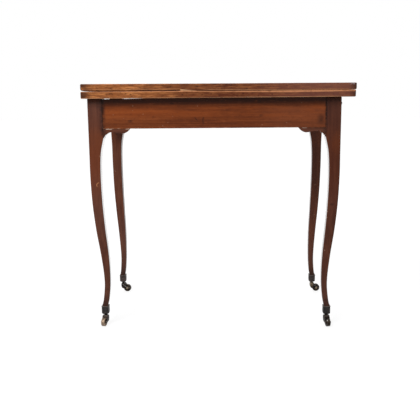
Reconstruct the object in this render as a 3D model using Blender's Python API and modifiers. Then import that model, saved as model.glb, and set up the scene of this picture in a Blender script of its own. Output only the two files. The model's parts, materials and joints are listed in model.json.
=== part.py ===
# A fold-over games table on four castors. The top opens like a book, and both back
# legs swing out on wooden knuckle joints to carry the opened leaf.
# Metres, +Z up. The floor is Z = 0 and the front faces -Y. The origin is on the floor,
# under the middle of the closed table.

import math

import bmesh
import bpy
from mathutils import Matrix, Vector

# Driving sizes of the top
TOP_WIDTH = 0.782
TOP_DEPTH = 0.440
TABLE_HEIGHT = 0.734
LEAF_THICKNESS = 0.020
LEAF_CORNER_RADIUS = 0.005
LEAF_CORNER_STEPS = 3
LEAF_ARRIS = 0.0016
FIT = 0.0003                # left between pieces that touch
RUN = 0.0005                # left between pieces that slide past each other
OVERRUN = 0.002             # how far a cutter runs past the face that it cuts

# The cloth let into the playing faces
BAIZE_BORDER = 0.046
BAIZE_FOLD_BORDER = 0.014
BAIZE_THICKNESS = 0.0010

# Brass hinges let into the ends of the leaves
HINGE_LENGTH = 0.058
HINGE_HEIGHT = 0.0105
HINGE_LAYER = 0.0024
HINGE_ARM = 0.0125
HINGE_KNUCKLE_RADIUS = 0.0045
HINGE_KNUCKLE_STEPS = 10
HINGE_PIN_RADIUS = 0.0013

# The frame
FRAME_WIDTH = 0.730
FRAME_DEPTH = 0.412
FRAME_OFFSET = -0.0120      # the frame stands this far off the top's middle
FRONT_OVERHANG = 0.022
APRON_HEIGHT = 0.086
RAIL_THICKNESS = 0.020
RAIL_ARRIS = 0.0008
STILE_WIDTH = 0.043
TENON_LENGTH = 0.020
TENON_THICKNESS = 0.008
TENON_SHOULDER = 0.008
STUB_TENON_LENGTH = 0.010
SIDE_RAIL_DROP = 0.0030     # the rails have shrunk below the tops of the legs
BACK_RAIL_DROP = 0.0050
FRONT_RAIL_DROP = 0.0020
FRONT_RAIL_DROP_RUN = 0.118

# The shaped brackets in the corners under the rails
EAR_LENGTH = 0.0785
EAR_THICKNESS = 0.0195
EAR_END_RUN = 0.0225
EAR_END_BOW = 0.0030
EAR_LOBE_DEPTH = 0.0140
EAR_CUSP_DEPTH = 0.0095
EAR_CUSP_RUN = 0.0230
EAR_COVE_BOW = 0.0036
EAR_TOE_DEPTH = 0.0265
EAR_TOE_WIDTH = 0.0012
EAR_ARC_STEPS = 5

# The square cabriole legs
LEG_SWEEP = 0.0230          # how far the ankle stands in from the side of the frame
LEG_SWEEP_DEPTH = 0.0368    # and from its front or back
LEG_ARRIS = 0.0016
LEG_RING_STEPS = 22
# Height up the curved part, then the sweep, and the width as a share of the stile
LEG_CURVE_SHARES = (
    (0.00, 0.67, 0.405),
    (0.13, 1.00, 0.420),
    (0.30, 0.77, 0.540),
    (0.46, 0.38, 0.640),
    (0.62, 0.11, 0.695),
    (0.78, 0.00, 0.715),
    (0.91, 0.00, 0.780),
    (1.00, 0.00, 1.000),
)

# The swinging gates behind the inner back rail
FLY_THICKNESS = 0.024
FLY_BARREL_STEPS = 8
FLY_PIN_SPACING = 0.190
FLY_TOP_CLEARANCE = 0.0055
FLY_PIN_RADIUS = 0.0030
FLY_PIN_BORE = 0.0034
FLY_PIN_END = 0.0020
FINGER_COUNT = 5
FINGER_GAP = 0.0008
GATE_LEG_CLEARANCE = 0.0010

# Blocks and screws inside the frame
GLUE_BLOCK = Vector((0.028, 0.013, 0.018))
GLUE_BLOCK_STILE_SPACE = 0.018
CORNER_BLOCK_WIDTH = 0.022
CORNER_BLOCK_MARGIN = 0.012
BLOCK_ARRIS = 0.0012
TOP_SCREW_TILT = math.radians(15)
TOP_SCREW_SEAT = 0.026
TOP_SCREW_BITE = 0.011
TOP_SCREW_HEAD_RADIUS = 0.0040
TOP_SCREW_SHANK_RADIUS = 0.0020
TOP_SCREW_POCKET_RADIUS = 0.0055
TOP_SCREW_POCKET_LENGTH = 0.050
TOP_SCREW_SPREAD = 0.200

# Castors
CUP_TOP = 0.062
CUP_HEIGHT = 0.026
CUP_WALL = 0.0020
CUP_FLOOR = 0.0045
CUP_CORNER_RADIUS = 0.0032
CUP_CORNER_STEPS = 2
CUP_TOE_RADIUS = 0.0050
CUP_TOE_SHARES = (0.0, 0.35, 0.7, 1.0)
CUP_LIP = 0.0005
CUP_LIP_HEIGHT = 0.0024
WHEEL_RADIUS = 0.0130
WHEEL_WIDTH = 0.0105
WHEEL_SHOULDER = 0.0030
WHEEL_DISH_RADIUS = 0.0085
WHEEL_DISH_DEPTH = 0.0018
WHEEL_HUB_RADIUS = 0.0046
TRAIL = 0.0155
AXLE_RADIUS = 0.0020
AXLE_BORE = 0.0024
AXLE_HEAD_RADIUS = 0.0032
AXLE_HEAD_HEIGHT = 0.0010
HORN_CHEEK = 0.0025
HORN_EYE_RADIUS = 0.0052
HORN_EYE_STEPS = 8
HORN_BACK = 0.0056
HORN_WHEEL_SPACE = 0.0008
HORN_NECK_RADIUS = 0.0050
HORN_NECK_HEIGHT = 0.0042
HORN_SHOULDER = 0.0034
PIVOT_RADIUS = 0.0030
PIVOT_HEAD_RADIUS = 0.0052
PIVOT_HEAD_HEIGHT = 0.0015
TURNED_STEPS = 16
PIN_STEPS = 12

# Castors' rest directions about +Z, from +X, as the photograph shows them
CASTOR_ANGLES = {
    "front_left": math.radians(257),
    "front_right": math.radians(281),
    "back_left": math.radians(350),
    "back_right": math.radians(5),
}

# Derived places
LEFT, RIGHT, FRONT, BACK = -1, 1, -1, 1
TOP_CENTRE_Y = -(HINGE_KNUCKLE_RADIUS + FIT / 2) / 2
FOLD_Y = TOP_CENTRE_Y + TOP_DEPTH / 2 + FIT / 2
FOLD_Z = TABLE_HEIGHT - LEAF_THICKNESS - FIT / 2
LEAF_UNDERSIDE = TABLE_HEIGHT - 2 * LEAF_THICKNESS - FIT
FRAME_TOP = LEAF_UNDERSIDE - FIT
APRON_BOTTOM = FRAME_TOP - APRON_HEIGHT
FRAME_FRONT = TOP_CENTRE_Y - TOP_DEPTH / 2 + FRONT_OVERHANG
FRAME_BACK = FRAME_FRONT + FRAME_DEPTH
BACK_RAIL_BACK = FRAME_BACK - STILE_WIDTH - RUN
BACK_RAIL_FRONT = BACK_RAIL_BACK - RAIL_THICKNESS
SIDE_RAIL_START = FRAME_FRONT + STILE_WIDTH + FIT
GATE_TOP = FRAME_TOP - GATE_LEG_CLEARANCE
FLY_TOP = FRAME_TOP - FLY_TOP_CLEARANCE
FLY_HEIGHT = FLY_TOP - APRON_BOTTOM
FLY_PIN_Y = FRAME_BACK - STILE_WIDTH + FLY_THICKNESS / 2
FLY_SHOULDER = FLY_THICKNESS / 2 + RUN
CUP_BOTTOM = CUP_TOP - CUP_HEIGHT
FOOT_END = CUP_BOTTOM + CUP_FLOOR + PIVOT_HEAD_HEIGHT + 2 * FIT
LEG_CURVE_TOP = APRON_BOTTOM - EAR_TOE_DEPTH


def side_x(side, inset=0.0):
    """The X of a plane that stands inset from the frame's left or right side."""
    return FRAME_OFFSET + side * (FRAME_WIDTH / 2 - inset)


def face_y(face, inset=0.0):
    """The Y of a plane that stands inset from the frame's front or back."""
    return FRAME_BACK - inset if face == BACK else FRAME_FRONT + inset


# Small tools

def clear_scene():
    for obj in list(bpy.data.objects):
        bpy.data.objects.remove(obj, do_unlink=True)


def new_collection(name):
    collection = bpy.data.collections.new(name)
    bpy.context.scene.collection.children.link(collection)
    return collection


def material(name, red, green, blue, roughness, metallic=0.0):
    """A Principled BSDF from an sRGB colour of 0 to 255."""
    def linear(value):
        share = value / 255
        return share / 12.92 if share <= 0.04045 else ((share + 0.055) / 1.055) ** 2.4
    made = bpy.data.materials.new(name)
    made.use_nodes = True
    shader = made.node_tree.nodes["Principled BSDF"]
    colour = (linear(red), linear(green), linear(blue), 1.0)
    shader.inputs["Base Color"].default_value = colour
    shader.inputs["Roughness"].default_value = roughness
    shader.inputs["Metallic"].default_value = metallic
    made.diffuse_color = colour
    return made


def add_object(name, mesh, finish, location=(0, 0, 0), parent=None):
    """Puts a mesh in the table's collection, seated on its parent's origin."""
    obj = bpy.data.objects.new(name, mesh)
    mesh.name = name
    mesh.materials.clear()
    mesh.materials.append(finish)
    TABLE.objects.link(obj)
    obj.parent = parent
    obj.location = location
    return obj


def add_pivot(name, location, turn=0.0, parent=None):
    empty = bpy.data.objects.new(name, None)
    TABLE.objects.link(empty)
    empty.parent = parent
    empty.location = location
    empty.rotation_euler.z = turn
    return empty


def evaluated_mesh(obj):
    """The object's mesh with its modifiers or curve settings made real, welded."""
    bpy.context.view_layer.update()
    graph = bpy.context.evaluated_depsgraph_get()
    mesh = bpy.data.meshes.new_from_object(obj.evaluated_get(graph))
    shape = bmesh.new()
    shape.from_mesh(mesh)
    bmesh.ops.remove_doubles(shape, verts=shape.verts, dist=FIT / 100)
    shape.to_mesh(mesh)
    shape.free()
    bpy.data.objects.remove(obj, do_unlink=True)
    return mesh


def box_mesh(low, high):
    low, high = Vector(low), Vector(high)
    shape = bmesh.new()
    bmesh.ops.create_cube(shape, size=1)
    bmesh.ops.scale(shape, verts=shape.verts, vec=high - low)
    bmesh.ops.translate(shape, verts=shape.verts, vec=(low + high) / 2)
    mesh = bpy.data.meshes.new("box")
    shape.to_mesh(mesh)
    shape.free()
    return mesh


def plate_mesh(outline, thickness):
    """A flat outline in X and Y, thickened evenly about Z = 0."""
    curve = bpy.data.curves.new("outline", "CURVE")
    curve.dimensions = "2D"
    curve.fill_mode = "BOTH"
    curve.extrude = thickness / 2
    spline = curve.splines.new("POLY")
    spline.points.add(len(outline) - 1)
    for point, (x, y) in zip(spline.points, outline):
        point.co = (x, y, 0, 1)
    spline.use_cyclic_u = True
    obj = bpy.data.objects.new("outline", curve)
    TABLE.objects.link(obj)
    return evaluated_mesh(obj)


def loft_mesh(rings):
    """A closed skin over rings that hold the same number of points."""
    shape = bmesh.new()
    rows = [[shape.verts.new(point) for point in ring] for ring in rings]
    count = len(rows[0])
    for lower, upper in zip(rows, rows[1:]):
        for k in range(count):
            after = (k + 1) % count
            shape.faces.new((lower[k], lower[after], upper[after], upper[k]))
    shape.faces.new(rows[0][::-1])
    shape.faces.new(rows[-1])
    bmesh.ops.recalc_face_normals(shape, faces=shape.faces)
    mesh = bpy.data.meshes.new("loft")
    shape.to_mesh(mesh)
    shape.free()
    return mesh


def turned_mesh(profile, steps=TURNED_STEPS):
    """Turns a profile of (radius, height) points about Z, top to bottom outside."""
    mesh = bpy.data.meshes.new("profile")
    points = [(radius, 0, height) for radius, height in profile]
    mesh.from_pydata(points, [(k, k + 1) for k in range(len(points) - 1)], [])
    obj = bpy.data.objects.new("profile", mesh)
    TABLE.objects.link(obj)
    screw = obj.modifiers.new("turn", "SCREW")
    screw.axis = "Z"
    screw.steps = steps
    screw.render_steps = steps
    screw.use_merge_vertices = True
    screw.merge_threshold = FIT / 100
    turned = evaluated_mesh(obj)
    turned.shade_smooth()
    turned.set_sharp_from_angle(angle=math.radians(35))
    return turned


def turn_to(direction, location):
    """Puts a piece modelled along -Z at a place, pointing along a direction."""
    turn = Vector((0, 0, -1)).rotation_difference(Vector(direction))
    return Matrix.Translation(location) @ turn.to_matrix().to_4x4()


def rod_mesh(radius, length, steps=PIN_STEPS):
    """A plain rod about Z from 0 down to -length."""
    return turned_mesh(((0, 0), (radius, 0), (radius, -length), (0, -length)), steps)


def boolean(target, mesh, operation="DIFFERENCE", place=None, parent=None):
    """Cuts a mesh out of a target, or joins it on, by a modifier that stays."""
    tool = bpy.data.objects.new(f"cut_{target.name}", mesh)
    CUTTERS.objects.link(tool)
    tool.parent = parent
    if place is not None:
        tool.matrix_local = place
    tool.hide_render = True
    tool.display_type = "WIRE"
    step = target.modifiers.new("cut", "BOOLEAN")
    step.operation = operation
    step.solver = "EXACT"
    step.object = tool


def bevel(obj, width, segments=2, angle=math.radians(40)):
    step = obj.modifiers.new("arris", "BEVEL")
    step.width = width
    step.segments = segments
    step.limit_method = "ANGLE"
    step.angle_limit = angle


def rounded_rectangle(half_x, half_y, radius, steps):
    """Points round a rectangle with rounded corners, anticlockwise."""
    points = []
    for corner, (sx, sy) in enumerate(((1, 1), (-1, 1), (-1, -1), (1, -1))):
        for k in range(steps + 1):
            angle = (corner + k / steps) * math.pi / 2
            points.append((sx * (half_x - radius) + radius * math.cos(angle),
                           sy * (half_y - radius) + radius * math.sin(angle)))
    return points


def arc(centre, radii, start, end, steps):
    """Points on an arc between two angles in degrees."""
    points = []
    for k in range(steps + 1):
        angle = math.radians(start + (end - start) * k / steps)
        points.append((centre[0] + radii[0] * math.cos(angle),
                       centre[1] + radii[1] * math.sin(angle)))
    return points


def bowed(start, end, bow):
    """Points on an arc from start to end that stands bow off its chord, on its left."""
    start, end = Vector(start), Vector(end)
    chord = end - start
    left = Vector((-chord.y, chord.x)).normalized()
    half = chord.length / 2
    radius = (half * half + bow * bow) / (2 * abs(bow))
    centre = (start + end) / 2 + left * math.copysign(radius - abs(bow), -bow)
    spread = 2 * math.asin(half / radius)
    points = []
    for k in range(EAR_ARC_STEPS + 1):
        turn = Matrix.Rotation(math.copysign(spread, -bow) * k / EAR_ARC_STEPS, 2)
        points.append(tuple(centre + turn @ (start - centre)))
    return points


# The folding top

def leaf(name, bottom):
    outline = rounded_rectangle(TOP_WIDTH / 2, TOP_DEPTH / 2, LEAF_CORNER_RADIUS,
                                LEAF_CORNER_STEPS)
    mesh = plate_mesh(outline, LEAF_THICKNESS)
    obj = add_object(name, mesh, WOOD_TOP, (0, TOP_CENTRE_Y, bottom + LEAF_THICKNESS / 2))
    bevel(obj, LEAF_ARRIS)
    return obj


def baize_bounds():
    """The low and high corners of the cloth in X and Y."""
    half = TOP_WIDTH / 2 - BAIZE_BORDER
    front = TOP_CENTRE_Y - TOP_DEPTH / 2 + BAIZE_BORDER
    return (-half, front), (half, FOLD_Y - BAIZE_FOLD_BORDER)


def lay_baize(name, target, face_z, up):
    """Lets a cloth panel into a leaf's playing face, which looks along up."""
    (x0, y0), (x1, y1) = baize_bounds()
    depth = face_z - up * BAIZE_THICKNESS
    levels = sorted((face_z, depth))
    add_object(name, box_mesh((x0, y0, levels[0]), (x1, y1, levels[1])), BAIZE)
    levels = sorted((face_z + up * OVERRUN, depth - up * FIT))
    recess = box_mesh((x0 - FIT, y0 - FIT, levels[0]), (x1 + FIT, y1 + FIT, levels[1]))
    boolean(target, recess)


def hinge_layer(side, layer, spare=0.0):
    """The X range of a hinge's outer (0) or inner (1) layer at one end of the top."""
    outside = TOP_WIDTH / 2 - layer * (HINGE_LAYER + FIT)
    edges = (side * (outside + spare), side * (outside - HINGE_LAYER - spare))
    return min(edges), max(edges)


def hinge_plate(side, layer, outline):
    """A plate with an outline in Y and Z about the fold's axis, in one layer."""
    x0, x1 = hinge_layer(side, layer)
    mesh = plate_mesh(outline, x1 - x0)
    along_y_and_z = Matrix(((0, 0, 1), (1, 0, 0), (0, 1, 0))).to_4x4()
    mesh.transform(Matrix.Translation(((x0 + x1) / 2, FOLD_Y, FOLD_Z)) @ along_y_and_z)
    return mesh


def hinge(side, word, lower_leaf, upper_leaf):
    """Both halves of one hinge and their recesses."""
    knuckle = (HINGE_KNUCKLE_RADIUS, HINGE_KNUCKLE_RADIUS)
    edge = FIT / 2
    clear = HINGE_KNUCKLE_RADIUS + 2 * FIT
    # The lower half is one plate with its knuckle in the outer layer
    outline = [(-HINGE_LENGTH, -edge), (-HINGE_LENGTH, -HINGE_HEIGHT), (-edge, -HINGE_HEIGHT)]
    outline += arc((0, 0), knuckle, -90, 180, HINGE_KNUCKLE_STEPS)
    lower = add_object(f"hinge_lower_{word}", hinge_plate(side, 0, outline), BRASS)
    # The upper half stops short of that knuckle and reaches the axis by an inner arm
    outline = [(-HINGE_LENGTH, edge), (-clear, edge), (-clear, HINGE_HEIGHT),
               (-HINGE_LENGTH, HINGE_HEIGHT)]
    upper = add_object(f"hinge_upper_{word}", hinge_plate(side, 0, outline), BRASS)
    outline = [(-edge, HINGE_HEIGHT - FIT), (-HINGE_ARM, HINGE_HEIGHT - FIT), (-HINGE_ARM, edge)]
    outline += arc((0, 0), knuckle, 180, 450, HINGE_KNUCKLE_STEPS)
    boolean(upper, hinge_plate(side, 1, outline), "UNION")
    outer, inner = sum(hinge_layer(side, 0)) / 2, sum(hinge_layer(side, 1)) / 2
    boolean(upper, box_mesh((min(outer, inner), FOLD_Y - HINGE_ARM + RUN, FOLD_Z + RUN),
                            (max(outer, inner), FOLD_Y - clear - RUN,
                             FOLD_Z + HINGE_HEIGHT - 2 * RUN)), "UNION")
    # Recesses in the ends of the leaves
    s0, s1 = hinge_layer(side, 0, FIT)
    ends = (s0 - OVERRUN, s1) if side == LEFT else (s0, s1 + OVERRUN)
    start = FOLD_Y - HINGE_LENGTH - FIT
    past = FOLD_Y + OVERRUN
    boolean(lower_leaf, box_mesh((ends[0], start, FOLD_Z - HINGE_HEIGHT - FIT),
                                 (ends[1], past, FOLD_Z + OVERRUN)))
    boolean(upper_leaf, box_mesh((ends[0], start, FOLD_Z - OVERRUN),
                                 (ends[1], past, FOLD_Z + HINGE_HEIGHT + FIT)))
    i0, i1 = hinge_layer(side, 1, FIT)
    boolean(upper_leaf, box_mesh((i0, FOLD_Y - HINGE_ARM - FIT, FOLD_Z - OVERRUN),
                                 (i1, past, FOLD_Z + HINGE_HEIGHT)))
    i0, i1 = hinge_layer(side, 1, 2 * FIT)
    space = rod_mesh(clear, i1 - i0, TURNED_STEPS)
    boolean(lower_leaf, space, place=turn_to((1, 0, 0), (i0, FOLD_Y, FOLD_Z)))
    # The pin's hole runs through both knuckles
    for half in (lower, upper):
        hole = rod_mesh(HINGE_PIN_RADIUS + FIT, 4 * HINGE_LAYER)
        first = side * (TOP_WIDTH / 2 - HINGE_LAYER) - 2 * HINGE_LAYER
        boolean(half, hole, place=turn_to((1, 0, 0), (first, FOLD_Y, FOLD_Z)))


def build_top():
    lower = leaf("lower_leaf", LEAF_UNDERSIDE)
    upper = leaf("upper_leaf", TABLE_HEIGHT - LEAF_THICKNESS)
    lay_baize("baize_lower", lower, FOLD_Z - FIT / 2, 1)
    lay_baize("baize_upper", upper, FOLD_Z + FIT / 2, -1)
    for side, word in ((LEFT, "left"), (RIGHT, "right")):
        hinge(side, word, lower, upper)
        pin = add_object(f"hinge_pin_{word}", rod_mesh(HINGE_PIN_RADIUS, 2 * HINGE_LAYER), BRASS)
        pin.matrix_local = turn_to((-side, 0, 0), (side * (TOP_WIDTH / 2 - FIT), FOLD_Y, FOLD_Z))
    return lower


# Rails and legs

def rail_mesh(length, height, thickness, tenons, drop=0.0, drop_run=0.0):
    """A rail along X from its first shoulder, Z = 0 at its lower edge.

    tenons are the lengths of the tenons at its start and end, or zero."""
    def section(x, half, low, high):
        return [(x, -half, low), (x, half, low), (x, half, high), (x, -half, high)]

    def body(x, top):
        return section(x, thickness / 2, 0, top)

    def tenon(x):
        return section(x, TENON_THICKNESS / 2, TENON_SHOULDER, height - TENON_SHOULDER)

    rings = []
    if tenons[0]:
        rings += [tenon(-tenons[0]), tenon(0)]
    rings.append(body(0, height - drop))
    if drop_run:
        rings.append(body(drop_run, height))
    rings.append(body(length, height))
    if tenons[1]:
        rings += [tenon(length), tenon(length + tenons[1])]
    return loft_mesh(rings)


def mortise(target, low, high):
    """Cuts a mortise for a tenon that fills the box from low to high."""
    spare = Vector((FIT, FIT, FIT))
    boolean(target, box_mesh(Vector(low) - spare, Vector(high) + spare))


def smooth_value(stations, share, column):
    """Reads a smooth curve through stations of (share, value, value)."""
    last = len(stations) - 1
    k = 0
    while k < last - 1 and share > stations[k + 1][0]:
        k += 1
    before, a = stations[max(k - 1, 0)], stations[k]
    b, after = stations[k + 1], stations[min(k + 2, last)]
    span = b[0] - a[0]
    s = (share - a[0]) / span
    slope_a = (b[column] - before[column]) / (b[0] - before[0]) * span
    slope_b = (after[column] - a[column]) / (after[0] - a[0]) * span
    ease = s * s * (3 - 2 * s)
    rise = s * (1 - s) * (1 - s)
    fall = s * s * (s - 1)
    return a[column] * (1 - ease) + b[column] * ease + slope_a * rise + slope_b * fall


def leg_section(z):
    """The leg's insets from the frame's side and face, and its width, at a height."""
    share = (z - CUP_TOP) / (LEG_CURVE_TOP - CUP_TOP)
    share = min(max(share, 0.0), 1.0)
    sweep = smooth_value(LEG_CURVE_SHARES, share, 1)
    width = STILE_WIDTH * smooth_value(LEG_CURVE_SHARES, share, 2)
    return LEG_SWEEP * sweep, LEG_SWEEP_DEPTH * sweep, width


def leg_mesh(side, face, top):
    """A leg about its own corner of the frame, from inside its cup to its top."""
    step = (LEG_CURVE_TOP - CUP_TOP) / LEG_RING_STEPS
    heights = [FOOT_END] + [CUP_TOP + k * step for k in range(LEG_RING_STEPS + 1)] + [top]
    rings = []
    for z in heights:
        x, y, width = leg_section(z)
        corners = ((x, y), (x + width, y), (x + width, y + width), (x, y + width))
        rings.append([(-side * a, -face * b, z) for a, b in corners])
    return loft_mesh(rings)


def foot_centre(side, face):
    """The middle of a leg's foot, where its castor swivels."""
    x, y, width = leg_section(CUP_TOP)
    return Vector((side_x(side, x + width / 2), face_y(face, y + width / 2), 0))


def ear_mesh(flip):
    """A bracket in X and Z from its leg, lying under Z = 0; flip -1 runs along -X."""
    outline = [(0, 0)]
    outline += bowed((EAR_LENGTH, 0), (EAR_LENGTH - EAR_END_RUN, -EAR_LOBE_DEPTH), EAR_END_BOW)
    outline += bowed((EAR_CUSP_RUN, -EAR_CUSP_DEPTH), (EAR_TOE_WIDTH, -EAR_TOE_DEPTH),
                     -EAR_COVE_BOW)
    outline.append((0, -EAR_TOE_DEPTH))
    mesh = plate_mesh([(flip * x, y) for x, y in outline][::flip], EAR_THICKNESS)
    mesh.transform(Matrix.Rotation(math.radians(90), 4, "X"))
    return mesh


def ear(name, corner, along, parent=None):
    """Seats a bracket at a leg's face; along is the way that it runs, a sign and axis."""
    sign, axis = along
    obj = add_object(name, ear_mesh(sign), WOOD_FRAME, corner, parent)
    if axis == "Y":
        obj.rotation_euler.z = math.radians(90)
    bevel(obj, RAIL_ARRIS, 1)
    return obj


def build_front():
    """The front rail and legs with the brackets between them."""
    legs = {}
    for side, word in ((LEFT, "left"), (RIGHT, "right")):
        mesh = leg_mesh(side, FRONT, FRAME_TOP)
        corner = (side_x(side), FRAME_FRONT, 0)
        legs[side] = add_object(f"leg_front_{word}", mesh, WOOD_FRAME, corner)
        bevel(legs[side], LEG_ARRIS, 1)
        below = APRON_BOTTOM - FIT
        start = (side_x(side, STILE_WIDTH + FIT), FRAME_FRONT + EAR_THICKNESS / 2, below)
        ear(f"ear_front_{word}", start, (-side, "X"))
    length = FRAME_WIDTH - 2 * (STILE_WIDTH + FIT)
    mesh = rail_mesh(length, APRON_HEIGHT, RAIL_THICKNESS, (TENON_LENGTH, TENON_LENGTH),
                     FRONT_RAIL_DROP, FRONT_RAIL_DROP_RUN)
    middle = FRAME_FRONT + RAIL_THICKNESS / 2
    rail = add_object("front_rail", mesh, WOOD_FRAME,
                      (side_x(LEFT, STILE_WIDTH + FIT), middle, APRON_BOTTOM))
    for side in (LEFT, RIGHT):
        shoulder = side_x(side, STILE_WIDTH)
        ends = sorted((shoulder - side * OVERRUN, shoulder + side * (TENON_LENGTH - FIT)))
        mortise(legs[side],
                (ends[0], middle - TENON_THICKNESS / 2, APRON_BOTTOM + TENON_SHOULDER),
                (ends[1], middle + TENON_THICKNESS / 2, FRAME_TOP - TENON_SHOULDER))
    return legs, rail


def build_sides(legs):
    """The side rails, their brackets and the inner back rail between them."""
    height = APRON_HEIGHT - SIDE_RAIL_DROP
    length = BACK_RAIL_BACK - SIDE_RAIL_START
    rails = {}
    for side, word in ((LEFT, "left"), (RIGHT, "right")):
        middle = side_x(side, RAIL_THICKNESS / 2)
        mesh = rail_mesh(length, height, RAIL_THICKNESS, (TENON_LENGTH, 0))
        rail = add_object(f"side_rail_{word}", mesh, WOOD_FRAME,
                          (middle, SIDE_RAIL_START, APRON_BOTTOM))
        rail.rotation_euler.z = math.radians(90)
        rails[side] = rail
        mortise(legs[side],
                (middle - TENON_THICKNESS / 2, SIDE_RAIL_START - TENON_LENGTH,
                 APRON_BOTTOM + TENON_SHOULDER),
                (middle + TENON_THICKNESS / 2, SIDE_RAIL_START + OVERRUN,
                 APRON_BOTTOM + height - TENON_SHOULDER))
        centre = side_x(side, EAR_THICKNESS / 2)
        below = APRON_BOTTOM - FIT
        ear(f"ear_{word}_front", (centre, SIDE_RAIL_START, below), (1, "Y"))
        ear(f"ear_{word}_back", (centre, BACK_RAIL_BACK, below), (-1, "Y"))
    height = APRON_HEIGHT - BACK_RAIL_DROP
    start = side_x(LEFT, RAIL_THICKNESS + FIT)
    length = FRAME_WIDTH - 2 * (RAIL_THICKNESS + FIT)
    mesh = rail_mesh(length, height, RAIL_THICKNESS, (STUB_TENON_LENGTH, STUB_TENON_LENGTH))
    middle = (BACK_RAIL_FRONT + BACK_RAIL_BACK) / 2
    back_rail = add_object("inner_back_rail", mesh, WOOD_INSIDE, (start, middle, APRON_BOTTOM))
    for side in (LEFT, RIGHT):
        inner = side_x(side, RAIL_THICKNESS)
        ends = sorted((inner - side * OVERRUN, inner + side * (STUB_TENON_LENGTH - FIT)))
        mortise(rails[side],
                (ends[0], middle - TENON_THICKNESS / 2, APRON_BOTTOM + TENON_SHOULDER),
                (ends[1], middle + TENON_THICKNESS / 2, APRON_BOTTOM + height - TENON_SHOULDER))
    return back_rail


# The gates

def fly_slots(target, side, moving, pin_x):
    """Cuts the gaps between a fly rail's fingers at one pin, for the other's fingers."""
    finger = FLY_HEIGHT / FINGER_COUNT
    reach = FLY_THICKNESS / 2 + OVERRUN
    for k in range(FINGER_COUNT):
        if (k % 2 == 1) == moving:
            continue
        low = APRON_BOTTOM + k * finger - FINGER_GAP / 2
        high = low + finger + FINGER_GAP
        if k == 0:
            low -= OVERRUN
        if k == FINGER_COUNT - 1:
            high += OVERRUN
        inward = side if moving else -side
        ends = sorted((pin_x + inward * FLY_SHOULDER, pin_x - inward * reach))
        boolean(target, box_mesh((ends[0], FLY_PIN_Y - reach, low),
                                 (ends[1], FLY_PIN_Y + reach, high)))
    bore = rod_mesh(FLY_PIN_BORE, FLY_HEIGHT + 2 * OVERRUN, TURNED_STEPS)
    boolean(target, bore, place=Matrix.Translation((pin_x, FLY_PIN_Y, FLY_TOP + OVERRUN)))


def build_gate(side, word):
    """A swinging rail with its leg and bracket, under an empty on the pin's axis."""
    pin = Vector((side * FLY_PIN_SPACING / 2 + FRAME_OFFSET, FLY_PIN_Y, 0))
    pivot = add_pivot(f"gate_{word}_axis", pin)
    half = FLY_THICKNESS / 2
    tenon = TENON_THICKNESS / 2
    shoulder = abs(side_x(side, STILE_WIDTH + FIT) - pin.x)
    tip = shoulder + TENON_LENGTH
    outline = arc((0, 0), (half, half), 90, 270, FLY_BARREL_STEPS)
    outline += [(shoulder, -half), (shoulder, -tenon), (tip, -tenon),
                (tip, tenon), (shoulder, tenon), (shoulder, half)]
    outline = [(side * x, y) for x, y in outline][::side]
    mesh = plate_mesh(outline, FLY_HEIGHT)
    middle = APRON_BOTTOM + FLY_HEIGHT / 2
    rail = add_object(f"gate_rail_{word}", mesh, WOOD_INSIDE, (0, 0, middle), pivot)
    fly_slots(rail, side, True, pin.x)
    corner = Vector((side_x(side), FRAME_BACK, 0))
    leg = add_object(f"leg_back_{word}", leg_mesh(side, BACK, GATE_TOP), WOOD_FRAME,
                     corner - pin, pivot)
    bevel(leg, LEG_ARRIS, 1)
    inner = side_x(side, STILE_WIDTH)
    ends = sorted((inner - side * OVERRUN, inner + side * (TENON_LENGTH - FIT)))
    mortise(leg, (ends[0], pin.y - tenon, APRON_BOTTOM), (ends[1], pin.y + tenon, FLY_TOP))
    back = pin.y + half - EAR_THICKNESS / 2
    start = Vector((side_x(side, STILE_WIDTH + FIT), back, APRON_BOTTOM - FIT))
    ear(f"ear_back_{word}", start - pin, (-side, "X"), pivot)
    return pivot, pin


def build_fixed_fly():
    """The fixed middle of the fly rail, with fingers at both ends, and the gates' pins."""
    half = FLY_THICKNESS / 2
    reach = FLY_PIN_SPACING / 2
    outline = arc((reach, 0), (half, half), -90, 90, FLY_BARREL_STEPS)
    outline += arc((-reach, 0), (half, half), 90, 270, FLY_BARREL_STEPS)
    mesh = plate_mesh(outline, FLY_HEIGHT)
    centre = Vector((FRAME_OFFSET, FLY_PIN_Y, APRON_BOTTOM + FLY_HEIGHT / 2))
    fly = add_object("fixed_fly_rail", mesh, WOOD_INSIDE, centre)
    for side in (LEFT, RIGHT):
        fly_slots(fly, side, False, FRAME_OFFSET + side * reach)
    rod = rod_mesh(FLY_PIN_RADIUS, FLY_HEIGHT + 2 * FLY_PIN_END, TURNED_STEPS)
    for side, word in ((LEFT, "left"), (RIGHT, "right")):
        add_object(f"gate_pin_{word}", rod.copy(), IRON,
                   (FRAME_OFFSET + side * reach, FLY_PIN_Y, FLY_TOP + FLY_PIN_END))


# Blocks and screws that hold the top

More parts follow.
